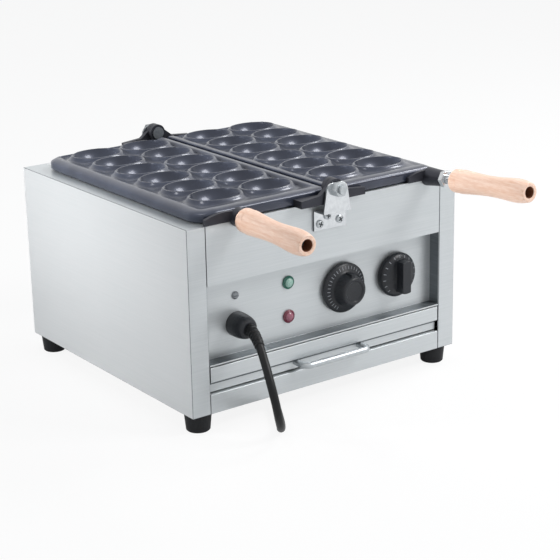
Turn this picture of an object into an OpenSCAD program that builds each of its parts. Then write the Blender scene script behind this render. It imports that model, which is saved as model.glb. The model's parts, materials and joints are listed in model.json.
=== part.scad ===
// Countertop cooker with two hinged mould plates, wooden handles and a crumb drawer.
// X runs to the right seen from the front, Y to the back and Z up.
// The origin is the middle of the object's box, on the surface that it stands on.

/* [Body] */
// Width over the side panels
body_w = 320; // [300:1:340]
// Depth from the front panels to the back panel
body_d = 307; // [302:1:325]
// Height of the panels
body_h = 181; // [170:1:210]
// Thickness of the stainless sheet
sheet = 1.5; // [1:0.1:2]
// Width of the side panels' flange on the front
front_flange = 20; // [16:1:26]
// Width of the side panels' flange on top
top_flange = 26; // [22:1:32]
// Open seam between neighbouring sheets
seam = 0.6; // [0.3:0.1:1]

/* [Front] */
// Height of the rail under the drawer
rail_h = 19; // [15:1:24]
// Height of the drawer's opening
drawer_open_h = 27.5; // [26:0.5:34]
// Height of the recess for the controls
recess_h = 77.5; // [70:0.5:84]
// Depth of the recess for the controls
recess_d = 14; // [12:1:22]

/* [Controls] */
// Height of the knobs' shafts above the recess floor
knob_z = 40; // [34:1:44]
// Distance of the timer knob from the middle
timer_x = 26; // [15:1:35]
// Distance of the thermostat knob from the middle
thermostat_x = 93; // [85:1:100]
// Diameter of the timer knob
timer_knob_dia = 50; // [44:1:54]
// Diameter of the thermostat knob
thermostat_knob_dia = 45; // [40:1:50]
// Length of a knob in front of the panel
knob_len = 20; // [18:1:26]
// Diameter of the control shafts
shaft_dia = 6; // [5:0.5:7]
// Distance of the lamps from the middle, to the left
lamp_x = 39; // [32:1:45]
// Height of the lower lamp above the recess floor
lamp_z = 24; // [16:1:28]
// Distance between the lamps
lamp_pitch = 34; // [28:1:40]
// Diameter of a lamp's bezel
lamp_dia = 13; // [12:0.5:16]
// Distance of the cable gland from the middle, to the left
gland_x = 99.5; // [94:0.5:106]
// Height of the cable gland above the recess floor
gland_z = 30.2; // [26:0.2:32]
// Diameter of the cable gland
gland_dia = 24; // [22:1:28]

/* [Feet] */
// Height of the rubber feet
foot_h = 18; // [15:1:22]
// Diameter of the rubber feet
foot_dia = 26; // [22:1:30]
// Distance of a foot's middle from the body's sides and ends
foot_inset = 15; // [14:1:22]

/* [Mould plates] */
// Border of a plate in front of its cups
front_border = 22.1; // [21:0.1:26]
// Border of a plate behind its cups
back_border = 6.1; // [5:0.1:10]
// Border of a plate beside the hinge
inner_border = 8.1; // [7:0.1:10]
// Border of a plate at its outer side
outer_border = 18.3; // [15:0.1:22]
// Cups across each plate
cup_cols = 2; // [1:1:2]
// Cups along each plate
cup_rows = 6; // [4:1:6]
// Depth of a cup below its rim
cup_depth = 16; // [12:0.5:18]
// Half the thickness of a cup's rim
rim_half = 2; // [1.5:0.1:2.5]
// Thickness of the casting under a cup
cup_wall = 4; // [3:0.5:5]
// Height of the rims above the body's top edge
rim_rise = 13.5; // [12:0.5:16]
// Drop from the rims to the web between the cups
web_drop = 4.5; // [3:0.5:7]
// Drop from the rims to the plate's border
edge_drop = 1; // [0.5:0.1:3]
// Height of the rounding along the plate's edge
edge_round = 3; // [2:0.5:5]
// Room between the plate and the flange that it rests on
plate_rest_gap = 0.3; // [0.2:0.1:0.6]
// Room between the two rows of rims when a plate is folded over
close_gap = 1; // [0.6:0.1:2]
// Strip of the body's top that shows beside a plate
side_strip = 15; // [12:1:18]
// Distance of the plate's front edge behind the body's front
plate_front_set = 1.5; // [1:0.5:3]
// Distance of the plate's back edge from the body's back
plate_back_set = 17.5; // [15:0.5:20]
// Distance of the plate's inner edge from the hinge axis
plate_inner_x = 3; // [2:0.5:5]
// Radius of the plate's outer corners
plate_corner_r = 20; // [12:1:24]

/* [Hinge] */
// Diameter of the hinge bolts
pivot_dia = 8; // [7:0.5:9]
// Running clearance round the hinge bolts
pivot_clear = 0.05; // [0.02:0.01:0.1]
// Outer diameter of a hinge eye
eye_dia = 18; // [16:0.5:19]
// Thickness of a hinge eye
eye_t = 5; // [4:0.5:6]
// Running gap beside a hinge eye
eye_gap = 0.3; // [0.2:0.1:0.6]
// Thickness of the hinge brackets
bracket_t = 2; // [1.5:0.5:3]
// Width of the hinge brackets
bracket_w = 38; // [32:1:44]
// Height of a bracket's foot on the panel
bracket_foot_h = 20; // [19:1:24]

/* [Handles] */
// Length of a wooden grip
grip_len = 102; // [90:1:120]
// Largest diameter of a wooden grip
grip_dia = 24; // [20:0.5:25]
// Diameter of the steel handle rod
rod_dia = 9; // [8:0.5:10]
// Distance of the left handle from the plate's outer side
left_handle_in = 40; // [36:1:43]
// Distance of the right handle from the plate's outer side
right_handle_in = 21; // [18:1:24]
// Depth of the handles below the hinge axis
handle_drop = 11; // [11:0.5:13]
// Distance from the left plate to its grip
left_grip_start = 9.5; // [9:0.5:14]
// Distance from the right plate to its grip
right_grip_start = 35; // [28:1:38]

/* [Drawer] */
// Width of the drawer tray
tray_w = 260; // [240:1:264]
// Depth of the drawer tray
tray_d = 262; // [240:1:266]
// Height of the drawer tray
tray_h = 20; // [14:1:22]
// Width of the drawer's bow handle
bow_w = 84; // [76:1:110]
// Diameter of the bow handle's rod
bow_dia = 6.5; // [5:0.5:7]
// Reach of the bow handle in front of the body
bow_reach = 16; // [12:1:20]

/* [Heating] */
// Diameter of the heating tubes
heater_dia = 8; // [6:0.5:9]
// Distance between the runs of a heating tube
heater_pitch = 30; // [26:1:31]
// Height of the heat shield below the body's top edge
shield_drop = 49; // [44:1:53]

/* [Mains lead] */
// Diameter of the lead
cord_dia = 8; // [7.6:0.1:8.2]
// Turns in each of the coil's two layers
coil_turns = 2; // [1:1:2]
// Radius of the coil's outermost turn
coil_r = 53; // [52:0.5:55]
// Distance between neighbouring turns
coil_pitch = 8.8; // [8.8:0.1:9.2]
// Distance between the two layers
coil_layer = 8.6; // [8.6:0.1:9]

/* [Hidden] */

$fn = 48;
eps = 0.01;

// Colours
steel = "#C4C8CA";
dark_steel = "#8A8E92";
casting = "#34363F";
beech = "#EFCFB2";
black_plastic = "#24262A";
rubber = "#1C1D1F";

// Faces of the body
x_side = body_w / 2;
y_front = -body_d / 2;
y_back = body_d / 2;
z_low = foot_h;
z_top = foot_h + body_h;
x_open = x_side - front_flange;
x_strip = x_side - top_flange;
z_rail = z_low + rail_h;
z_ledge = z_rail + drawer_open_h;
z_soffit = z_ledge + recess_h;
y_panel = y_front + recess_d;
y_panel_back = y_panel + sheet;
z_shield = z_top - shield_drop;

// Mould plates: the rims lie half the closing gap under the hinge axis
z_rim = z_top + rim_rise;
z_axis = z_rim + close_gap / 2;
z_plate_low = z_top + plate_rest_gap;
plate_x1 = x_side - side_strip;
plate_y0 = y_front + plate_front_set;
plate_y1 = y_back - plate_back_set;
cup_pitch_x = (plate_x1 - plate_inner_x - inner_border - outer_border) / cup_cols;
cup_pitch_y = (plate_y1 - plate_y0 - front_border - back_border) / cup_rows;
first_col_x = plate_inner_x + inner_border + cup_pitch_x / 2;
rim_a = cup_pitch_x / 2 - rim_half;
rim_b = cup_pitch_y / 2 - rim_half;
rim_flank = 2.2;
web_low = z_rim - z_plate_low;

// Handles: distance forward of the plate's front edge, turn outwards and tilt up
left_handle_x = plate_x1 - left_handle_in;
left_splay = 2;
left_tilt = -0.8;
right_handle_x = plate_x1 - right_handle_in;
right_splay = 2;
right_tilt = 4;
z_handle = z_axis - handle_drop;
lug_clear = 1;

// The object's own box in Y, without the lead, sets the origin
hinge_nut_t = 6.5;
bolt_end = 3;
hinge_stack = 2 * eye_t + 2 * eye_gap;
y_arm_front = y_front - 0.5;
y_bracket_front = y_arm_front - hinge_stack - eye_gap;
y_arm_rear = y_back - 7.5;
y_bracket_rear = y_arm_rear + hinge_stack + eye_gap;
grip_end_r = 9.5;
right_reach = (right_grip_start + grip_len) * cos(right_tilt);
y_reach_front = plate_y0 - right_reach * cos(right_splay) - grip_end_r * sin(right_splay);
y_reach_back = y_bracket_rear + bracket_t + hinge_nut_t + bolt_end;
y_origin = (y_reach_front + y_reach_back) / 2;

// A block between two corners
module block(low, high) {
    translate(low) cube(high - low);
}

// A row of children, once on the left and once on the right
module both_sides() {
    children();
    mirror([1, 0, 0]) children();
}

// A round bar or hole along Y from y0 to y1
module bar_y(x, z, y0, y1, r) {
    translate([x, y1, z]) rotate([90, 0, 0]) cylinder(h = y1 - y0, r = r);
}

// A turned shape whose axis points forward, standing on the control panel
module turned(x, z, y = y_panel) {
    translate([x, y, z]) rotate([90, 0, 0]) rotate_extrude() children();
}

// Sheet-metal body

module side_panel() {
    block([x_side - sheet, y_front, z_low], [x_side, y_back, z_top]);
    block([x_open, y_front, z_low], [x_side, y_front + sheet, z_top]);
    block([x_strip, y_front + sheet, z_top - sheet], [x_side, y_back, z_top]);
}

module left_side_panel() {
    color(steel) mirror([1, 0, 0]) side_panel();
}

module right_side_panel() {
    color(steel) side_panel();
}

pan_rim = 14;

module base_pan() {
    inner_x = x_side - sheet;
    pan_y0 = y_front + sheet;
    pan_y1 = y_back - sheet;
    color(dark_steel) difference() {
        union() {
            block([-inner_x, pan_y0, z_low], [inner_x, pan_y1, z_low + sheet]);
            both_sides()
                block([inner_x - sheet, pan_y0, z_low], [inner_x, pan_y1, z_low + pan_rim]);
        }
        for (p = foot_places)
            translate([p[0], p[1], z_low - eps]) cylinder(h = sheet + 2 * eps, r = foot_screw_r + 0.2);
    }
}

vent_count = 9;
vent_pitch = 22;
vent_size = [5, 36];
vent_z = 52;

module back_panel() {
    back_return = plate_back_set - 1;
    color(steel) difference() {
        union() {
            block([-x_side + sheet, y_back - sheet, z_low], [x_side - sheet, y_back, z_top - sheet]);
            block([-x_strip, y_back - back_return, z_top - sheet], [x_strip, y_back, z_top]);
        }
        for (k = [0 : vent_count - 1])
            vent_slot((k - (vent_count - 1) / 2) * vent_pitch);
        for (spot = bracket_spots)
            bracket_hole(spot, y_back - 2 * sheet, y_back + eps);
    }
}

module vent_slot(x) {
    r = vent_size[0] / 2;
    z0 = z_low + vent_z;
    block([x - r, y_back - 2 * sheet, z0], [x + r, y_back + eps, z0 + vent_size[1]]);
    for (z = [z0, z0 + vent_size[1]])
        bar_y(x, z, y_back - 2 * sheet, y_back + eps, r);
}

front_return = 12;

module upper_front_panel() {
    half = x_open - seam;
    color(steel) difference() {
        union() {
            block([-half, y_front, z_soffit], [half, y_front + sheet, z_top]);
            block([-x_strip, y_front, z_top - sheet], [x_strip, y_front + front_return, z_top]);
            block([-half, y_front, z_soffit], [half, y_panel_back + 6, z_soffit + sheet]);
        }
        for (spot = bracket_spots)
            bracket_hole(spot, y_front - eps, y_front + 2 * sheet);
    }
}

module control_panel() {
    wide = x_open + sheet;
    color(steel) difference() {
        union() {
            block([-wide, y_panel, z_ledge], [wide, y_panel_back, z_soffit]);
            both_sides()
                block([x_open, y_front + sheet, z_ledge], [wide, y_panel, z_soffit]);
            block([-x_open + seam, y_front, z_ledge], [x_open - seam, y_panel, z_ledge + sheet]);
        }
        for (x = [timer_x, thermostat_x])
            panel_hole(x, z_knob, shaft_dia / 2 + 2);
        for (z = [z_red, z_green])
            panel_hole(-lamp_x, z, lamp_barrel_r + 0.1);
        panel_hole(-gland_x, z_gland, gland_barrel_r + 0.1);
        panel_hole(-panel_screw_x, z_panel_screw, panel_screw_r + 0.1);
    }
}

module panel_hole(x, z, r) {
    bar_y(x, z, y_panel - eps, y_panel_back + eps, r);
}

module lower_front_rail() {
    half = x_open - seam;
    rail_return = 14;
    color(steel) {
        block([-half, y_front, z_low], [half, y_front + sheet, z_rail]);
        block([-half, y_front, z_rail - sheet], [half, y_front + rail_return, z_rail]);
        block([-half, y_front + sheet / 2, z_low + sheet],
              [half, y_front + rail_return, z_low + 2 * sheet]);
    }
}

// Heating

shield_rim = 14;
support_y = 80;
support_t = 2;
support_foot = 12;
z_heater = z_shield + 34;

module heat_shield() {
    inner_x = x_side - sheet;
    y0 = y_panel_back + 2;
    y1 = y_back - sheet;
    color(dark_steel) {
        block([-inner_x, y0, z_shield], [inner_x, y1, z_shield + sheet]);
        both_sides()
            block([inner_x - sheet, y0, z_shield], [inner_x, y1, z_shield + shield_rim]);
    }
}

module heater_supports() {
    half = x_side - 14;
    z0 = z_shield + sheet;
    color(dark_steel) for (y = [-support_y, support_y]) {
        block([-half, y - support_t / 2, z0], [half, y + support_t / 2, z_heater - heater_dia / 2 - 0.1]);
        block([-half, y - support_t / 2, z0], [half, y + support_foot, z0 + support_t]);
    }
}

heater_first_x = 22;
heater_runs = 4;
heater_half = 108;
heater_tail = 16;

// A tube that runs to and fro under a plate, with both ends at the front
module heating_tube() {
    r = heater_dia / 2;
    bend = heater_pitch / 2;
    for (k = [0 : heater_runs - 1]) {
        x = heater_first_x + k * heater_pitch;
        tail = k == 0 || k == heater_runs - 1 ? heater_tail : 0;
        bar_y(x, z_heater, -heater_half - tail, heater_half, r);
    }
    for (k = [0 : heater_runs - 2])
        translate([heater_first_x + (k + 0.5) * heater_pitch, heater_half * (k % 2 == 0 ? 1 : -1), z_heater])
            rotate([0, 0, k % 2 == 0 ? 0 : 180])
                rotate_extrude(angle = 180) translate([bend, 0]) circle(r = r);
}

module left_heating_tube() {
    color(dark_steel) mirror([1, 0, 0]) heating_tube();
}

module right_heating_tube() {
    color(dark_steel) heating_tube();
}

// Drawer

run_gap = 0.4;
z_tray = z_rail + 3;
tray_sheet = 1.2;
drawer_step = 12;
step_back = 4;
drawer_gap = 1.2;
y_tray = y_front + sheet + step_back;

module drawer_runners() {
    x = tray_w / 2 + run_gap;
    y1 = y_tray + tray_d + 6;
    y0 = y_front + 22;
    color(dark_steel) both_sides() {
        block([x, y0, z_low + sheet], [x + sheet, y1, z_tray + tray_h]);
        block([x - 14, y0, z_tray - run_gap - sheet], [x + sheet, y1, z_tray - run_gap]);
        block([x, y0, z_low + sheet], [x + 14, y1, z_low + 2 * sheet]);
    }
}

module drawer_tray() {
    half = tray_w / 2;
    color(steel) difference() {
        block([-half, y_tray, z_tray], [half, y_tray + tray_d, z_tray + tray_h]);
        block([-half + tray_sheet, y_tray + tray_sheet, z_tray + tray_sheet],
              [half - tray_sheet, y_tray + tray_d - tray_sheet, z_tray + tray_h + eps]);
    }
}

// The drawer's front is one sheet with a step along its lower third
module drawer_front() {
    half = x_open - drawer_gap;
    z0 = z_rail + drawer_gap;
    z1 = z_ledge - drawer_gap;
    zs = z0 + drawer_step;
    ys = y_front + step_back;
    color(steel) translate([-half, 0, 0]) rotate([90, 0, 90]) linear_extrude(height = 2 * half)
        polygon([[ys, z0], [ys, zs - sheet], [y_front, zs - sheet], [y_front, z1], [y_front + sheet, z1],
                 [y_front + sheet, zs], [ys + sheet, zs], [ys + sheet, z0]]);
}

bow_z = z_rail + drawer_gap + drawer_step - sheet - bow_dia / 2 - 0.5;

// A bent rod with turned-in ends that stand on the drawer's front
module drawer_handle() {
    r = bow_dia / 2;
    bend = bow_dia;
    half = bow_w / 2 - r;
    y_bar = y_front - bow_reach + r;
    color(steel) {
        translate([-half + bend, y_bar, bow_z]) rotate([0, 90, 0]) cylinder(h = 2 * (half - bend), r = r);
        both_sides() {
            bar_y(half, bow_z, y_bar + bend, y_front + step_back, r);
            translate([half - bend, y_bar + bend, bow_z]) rotate([0, 0, -90])
                rotate_extrude(angle = 90) translate([bend, 0]) circle(r = r);
        }
    }
}

// Feet

foot_screw_r = 2.5;
foot_head_r = 5;
foot_recess = 6;
foot_places = [for (y = [y_front + foot_inset, y_back - foot_inset],
                    x = [-x_side + foot_inset, x_side - foot_inset]) [x, y]];

module foot(place) {
    r = foot_dia / 2;
    color(rubber) translate([place[0], place[1], 0]) rotate_extrude()
        polygon([[foot_head_r + 0.5, 0], [r - 2.5, 0], [r - 1.5, 1], [r, foot_h - 2], [r, foot_h],
                 [foot_screw_r + 0.1, foot_h], [foot_screw_r + 0.1, foot_recess],
                 [foot_head_r + 0.5, foot_recess]]);
}

module front_left_foot() { foot(foot_places[0]); }
module front_right_foot() { foot(foot_places[1]); }
module back_left_foot() { foot(foot_places[2]); }
module back_right_foot() { foot(foot_places[3]); }

module foot_screws() {
    head = 3;
    color(dark_steel) for (p = foot_places) translate([p[0], p[1], foot_recess - head]) rotate_extrude()
        polygon([[0, 0], [foot_head_r - 1, 0], [foot_head_r, 1], [foot_head_r, head], [foot_screw_r, head],
                 [foot_screw_r, foot_h - foot_recess + head + 5], [0, foot_h - foot_recess + head + 5]]);
}

// Mould plates: each casting is a grid of cells, one for each cup.
// A cell's square rings become ovals inside the rim and the cell's own outline at its edge.

cell_rings = 5;
// Share of the rim's oval, and height from the rim, of the cup's inside and of its underside
inside_rings = [[0, -cup_depth], [0.45, -0.9 * cup_depth], [0.8, -0.56 * cup_depth], [0.965, 0], [1.04, 0]];
under_deep = cup_depth + cup_wall;
under_rings = [[0, -under_deep], [0.5, -0.94 * under_deep], [0.88, -web_low],
               [0.98, -web_low], [1.04, -web_low]];
cell_lines = 2 * cell_rings;
edge_lines = 3;
lines_x = cup_cols * cell_lines + 2 * edge_lines;
lines_y = cup_rows * cell_lines + 2 * edge_lines;
array_y0 = plate_y0 + front_border;
// Width of the rounding, and each edge line's share of it and of its drop
edge_wide = 9;
edge_shares = [[0, 1], [0.28, 0.25], [1, 0]];

// The unit square's rings carried to the unit circle
function round_ring(s, t) = [s * sqrt(1 - t * t / 2), t * sqrt(1 - s * s / 2)];

// Drop of the casting outside a rim, down to the web
function rim_drop(x, y) =
    let (e = norm([x / rim_a, y / rim_b]), d = norm([x, y]) * (1 - 1 / e))
    min(web_drop, max(0, (d - rim_half / 2) * rim_flank));

// A point of a cell, from its ring and its place on the ring
function cell_point(i, j, rings, upper) =
    let (r = max(abs(i), abs(j)))
    r == 0 ? [0, 0, rings[0][1]]
    : r < cell_rings ? let (c = rings[r][0] * round_ring(i / r, j / r)) [rim_a * c[0], rim_b * c[1], rings[r][1]]
    : let (x = cup_pitch_x / 2 * i / cell_rings, y = cup_pitch_y / 2 * j / cell_rings)
      [x, y, upper ? -rim_drop(x, y) : -web_low];

function array_point(a, b, upper) =
    let (c = min(floor(a / cell_lines), cup_cols - 1), r = min(floor(b / cell_lines), cup_rows - 1))
    let (p = cell_point(a - c * cell_lines - cell_rings, b - r * cell_lines - cell_rings,
                        upper ? inside_rings : under_rings, upper))
    [first_col_x + c * cup_pitch_x + p[0], array_y0 + (r + 0.5) * cup_pitch_y + p[1], z_rim + p[2]];

// The plate's two outer corners, carried from squares to quarter discs
function round_corner(x, y) =
    let (r = plate_corner_r, back = y > (plate_y0 + plate_y1) / 2, cy = back ? plate_y1 - r : plate_y0 + r)
    let (u = (x - plate_x1 + r) / r, v = (back ? y - cy : cy - y) / r, m = max(u, v))
    u > 0 && v > 0
    ? let (c = m * r * round_ring(u / m, v / m)) [plate_x1 - r + c[0], back ? cy + c[1] : cy - c[1]]
    : [x, y];

// Number of the edge line at a grid line, from 0 at the outline to edge_lines within the array
function edge_line(g, lines) = min(g, lines - g, edge_lines);

// A grid line's place: in the border it lies at a share of the rounding's width from the edge
function border_place(g, lines, low, high, low_border, high_border, inside) =
    let (k = edge_line(g, lines))
    k == edge_lines ? inside
    : g < lines / 2 ? low + edge_shares[k][0] * min(edge_wide, 0.85 * low_border)
    : high - edge_shares[k][0] * min(edge_wide, 0.85 * high_border);

function plate_point(gx, gy, upper) =
    let (p = array_point(min(max(gx - edge_lines, 0), lines_x - 2 * edge_lines),
                         min(max(gy - edge_lines, 0), lines_y - 2 * edge_lines), upper))
    let (x = border_place(gx, lines_x, plate_inner_x, plate_x1, inner_border, outer_border, p[0]))
    let (y = border_place(gy, lines_y, plate_y0, plate_y1, front_border, back_border, p[1]))
    let (k = min(edge_line(gx, lines_x), edge_line(gy, lines_y)))
    k == edge_lines ? p
    : let (q = round_corner(x, y), drop = edge_drop + edge_round * edge_shares[k][1])
      [q[0], q[1], upper ? z_rim - drop : z_plate_low];

function grid_index(gx, gy, upper) = (upper ? 0 : (lines_x + 1) * (lines_y + 1)) + gx * (lines_y + 1) + gy;

// Two triangles of a grid square, split along the line that points to the cup's middle
function square_faces(gx, gy, upper) =
    let (a = grid_index(gx, gy, upper), b = grid_index(gx, gy + 1, upper))
    let (c = grid_index(gx + 1, gy + 1, upper), d = grid_index(gx + 1, gy, upper))
    let (u = (gx - edge_lines + cell_lines) % cell_lines - cell_rings + 0.5)
    let (v = (gy - edge_lines + cell_lines) % cell_lines - cell_rings + 0.5)
    let (f = u * v > 0 ? [[a, b, c], [a, c, d]] : [[a, b, d], [b, c, d]])
    upper ? f : [for (t = f) [t[2], t[1], t[0]]];

module plate_casting() {
    points = [for (upper = [true, false], gx = [0 : lines_x], gy = [0 : lines_y]) plate_point(gx, gy, upper)];
    skins = [for (upper = [true, false], gx = [0 : lines_x - 1], gy = [0 : lines_y - 1],
                  f = square_faces(gx, gy, upper)) f];
    ends = [for (gx = [0 : lines_x - 1], e = [0, 1])
        let (gy = e * lines_y, a = grid_index(gx, gy, true), b = grid_index(gx + 1, gy, true))
        let (c = grid_index(gx + 1, gy, false), d = grid_index(gx, gy, false))
        e == 0 ? [a, b, c, d] : [d, c, b, a]];
    sides = [for (gy = [0 : lines_y - 1], e = [0, 1])
        let (gx = e * lines_x, a = grid_index(gx, gy, true), b = grid_index(gx, gy + 1, true))
        let (c = grid_index(gx, gy + 1, false), d = grid_index(gx, gy, false))
        e == 0 ? [d, c, b, a] : [a, b, c, d]];
    walls = [for (q = concat(ends, sides), f = [[q[0], q[1], q[2]], [q[0], q[2], q[3]]]) f];
    polyhedron(points, concat(skins, walls));
}

module left_mould_plate() {
    color(casting) mirror([1, 0, 0]) plate_casting();
}

module right_mould_plate() {
    color(casting) plate_casting();
}

// Hinge: each plate has an arm at either end, and the arms' eyes turn on one bolt

arm_x0 = 14;
arm_x1 = 40;
arm_top = z_plate_low + 7;

// Outline of an arm seen along the axis, from the eye to its foot on the plate
module arm_outline() {
    r = eye_dia / 2;
    difference() {
        union() {
            translate([0, z_axis]) circle(r = r);
            polygon([[2, z_axis - r], [r - 1, z_axis + 3], [arm_x0 + 4, arm_top + 2], [arm_x1, arm_top],
                     [arm_x1, z_plate_low], [arm_x0, z_plate_low]]);
        }
        translate([0, z_axis]) circle(r = pivot_dia / 2 + pivot_clear);
    }
}

// An arm from the plate's edge at y_plate; its eye fills y0 to y0 + eye_t
module hinge_arm(y_plate, y0) {
    translate([0, y0 + eye_t, 0]) rotate([90, 0, 0]) linear_extrude(height = eye_t) arm_outline();
    low = min(y_plate, y0);
    high = max(y_plate, y0 + eye_t);
    block([arm_x0, low, z_plate_low], [arm_x1, high, arm_top]);
}

module right_front_hinge_arm() {
    color(casting) hinge_arm(plate_y0, y_arm_front - eye_t);
}

module left_front_hinge_arm() {
    color(casting) mirror([1, 0, 0]) hinge_arm(plate_y0, y_arm_front - 2 * eye_t - eye_gap);
}

module right_rear_hinge_arm() {
    color(casting) hinge_arm(plate_y1, y_arm_rear);
}

module left_rear_hinge_arm() {
    color(casting) mirror([1, 0, 0]) hinge_arm(plate_y1, y_arm_rear + eye_t + eye_gap);
}

bracket_top_w = 32;
bracket_tip_w = 25;
bracket_tip_r = 8;
bracket_head = 6.2;
bracket_screw_r = 2;
z_bracket_foot = z_top - 7;
// Each screw's place: across the foot, and above the foot's lower edge
bracket_spots = [[-12.5, 6.5], [11, 7.5], [-3.5, 13.2]];

module bracket_hole(spot, y0, y1) {
    bar_y(spot[0], z_bracket_foot - bracket_foot_h + spot[1], y0, y1, bracket_screw_r + 0.1);
}

// The upright of a bracket: a tongue that narrows to rounded shoulders, with a hole for the bolt
module bracket_outline() {
    half = bracket_top_w / 2;
    shoulder_x = bracket_tip_w / 2 - bracket_tip_r;
    difference() {
        hull() {
            translate([-half, z_bracket_foot - bracket_t]) square([2 * half, bracket_t]);
            for (side = [-1, 1])
                translate([side * shoulder_x, z_axis + bracket_head - bracket_tip_r])
                    circle(r = bracket_tip_r);
        }
        translate([0, z_axis]) circle(r = pivot_dia / 2 + pivot_clear);
    }
}

// A folded bracket: foot on the panel, ledge outwards and upright beside the eyes.
// It faces forward; dir is -1 at the front and 1 at the back.
module hinge_bracket(y_face, y_upright, dir) {
    half = bracket_w / 2;
    y_out = y_upright + dir * bracket_t;
    difference() {
        union() {
            block([-half, min(y_face, y_face + dir * bracket_t), z_bracket_foot - bracket_foot_h],
                  [half, max(y_face, y_face + dir * bracket_t), z_bracket_foot]);
            block([-bracket_top_w / 2, min(y_face, y_out), z_bracket_foot - bracket_t],
                  [bracket_top_w / 2, max(y_face, y_out), z_bracket_foot]);
            translate([0, max(y_upright, y_out), 0]) rotate([90, 0, 0])
                linear_extrude(height = bracket_t) bracket_outline();
        }
        for (spot = bracket_spots)
            bracket_hole(spot, y_face - 2 * bracket_t, y_face + 2 * bracket_t);
    }
}

module front_hinge_bracket() {
    color(steel) hinge_bracket(y_front, y_bracket_front, -1);
}

module rear_hinge_bracket() {
    color(dark_steel) hinge_bracket(y_back, y_bracket_rear, 1);
}

bolt_head_r = 6.5;
bolt_clear = 0.5;
bolt_head_t = plate_y0 - y_arm_front - eye_gap - bolt_clear;

// A bolt whose head lies against the inner eye and whose thread comes out past the nut.
// y0 is the inner face of the eyes, y1 the end of the thread.
module hinge_bolt(y0, y1, dir) {
    bar_y(0, z_axis, min(y0, y1), max(y0, y1), pivot_dia / 2);
    y_head = y0 - dir * eye_gap;
    y_end = y_head - dir * bolt_head_t;
    bar_y(0, z_axis, min(y_head, y_end), max(y_head, y_end), bolt_head_r);
    bar_y(0, z_axis, min(y0, y_head), max(y0, y_head), pivot_dia / 2);
}

module front_hinge_bolt() {
    color(steel) hinge_bolt(y_arm_front, y_bracket_front - bracket_t - hinge_nut_t - bolt_end, -1);
}

module rear_hinge_bolt() {
    color(dark_steel) hinge_bolt(y_arm_rear, y_bracket_rear + bracket_t + hinge_nut_t + bolt_end, 1);
}

nut_flats = 13;

module hex_nut(hole_r, flats, t) {
    difference() {
        cylinder(h = t, r = flats / sqrt(3), $fn = 6);
        translate([0, 0, -eps]) cylinder(h = t + 2 * eps, r = hole_r);
    }
}

module front_hinge_nut() {
    color(steel) translate([0, y_bracket_front - bracket_t, z_axis]) rotate([90, 0, 0])
        hex_nut(pivot_dia / 2 + pivot_clear, nut_flats, hinge_nut_t);
}

module rear_hinge_nut() {
    color(dark_steel) translate([0, y_bracket_rear + bracket_t, z_axis]) rotate([-90, 0, 0])
        hex_nut(pivot_dia / 2 + pivot_clear, nut_flats, hinge_nut_t);
}

module bracket_screws() {
    head = 2.4;
    grip = bracket_t + sheet + 5;
    color(dark_steel) for (spot = bracket_spots, dir = [-1, 1])
        translate([spot[0], (dir < 0 ? y_front : y_back) + dir * bracket_t,
                   z_bracket_foot - bracket_foot_h + spot[1]])
            rotate([-90 * dir, 0, 0]) rotate_extrude()
                polygon([[0, -grip], [bracket_screw_r, -grip], [bracket_screw_r, 0],
                         [4, 0], [3.8, 1.2], [2.6, head], [0, head]]);
}

// Handles: a lug on the plate's front edge, a steel rod and a turned grip

lug_w = 44;
lug_x = plate_x1 - 26;
lug_t = 4;
lug_h = 10;
arm_r0 = 9.5;
arm_r1 = 7.5;
handle_nut_t = 5;
handle_nut_flats = 15;

// Carries children from the Z axis to a handle's axis, from the plate's front edge
module on_handle(x, splay, tilt) {
    translate([x, plate_y0, z_handle]) rotate([0, 0, splay]) rotate([90 - tilt, 0, 0]) children();
}

// The lug's arched pad lies on the plate's edge; its boss carries the rod
module handle_lug(x, splay, tilt, boss_end) {
    y_pad = plate_y0 - lug_t;
    difference() {
        union() {
            translate([0, plate_y0, 0]) rotate([90, 0, 0]) linear_extrude(height = lug_t) intersection() {
                translate([lug_x - lug_w / 2, z_plate_low]) square([lug_w, lug_h]);
                translate([lug_x, z_plate_low + lug_h - 1.3 * lug_w]) circle(r = 1.3 * lug_w, $fn = 96);
            }
            intersection() {
                on_handle(x, splay, tilt) cylinder(h = boss_end, r1 = arm_r0, r2 = arm_r1);
                block([0, plate_y0 - 2 * right_grip_start, 0], [2 * x_side, y_front - lug_clear, 2 * z_axis]);
            }
        }
        on_handle(x, splay, tilt) translate([0, 0, lug_t])
            cylinder(h = boss_end, r = rod_dia / 2 + pivot_clear);
    }
}

left_boss_end = left_grip_start - 0.5;
right_boss_end = right_grip_start - handle_nut_t - 6;

module left_handle_lug() {
    color(casting) mirror([1, 0, 0]) handle_lug(left_handle_x, left_splay, left_tilt, left_boss_end);
}

module right_handle_lug() {
    color(casting) handle_lug(right_handle_x, right_splay, right_tilt, right_boss_end);
}

rod_stop = 14;

module handle_rod(x, splay, tilt, grip_start) {
    on_handle(x, splay, tilt) translate([0, 0, lug_t])
        cylinder(h = grip_start + grip_len - rod_stop - lug_t, r = rod_dia / 2);
}

module left_handle_rod() {
    color(steel) mirror([1, 0, 0]) handle_rod(left_handle_x, left_splay, left_tilt, left_grip_start);
}

module right_handle_rod() {
    color(steel) handle_rod(right_handle_x, right_splay, right_tilt, right_grip_start);
}

// The nut in the free end of a grip holds the grip on its rod
module end_nut(x, splay, tilt, grip_start) {
    on_handle(x, splay, tilt) translate([0, 0, grip_start + grip_len - rod_stop - 2])
        difference() {
            cylinder(h = 4, r = end_hole_r - 0.3);
            translate([0, 0, -eps]) cylinder(h = 2 + eps, r = rod_dia / 2 + 0.02);
        }
}

end_hole_r = 5.6;

module left_handle_nut() {
    color(dark_steel) mirror([1, 0, 0]) end_nut(left_handle_x, left_splay, left_tilt, left_grip_start);
}

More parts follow.
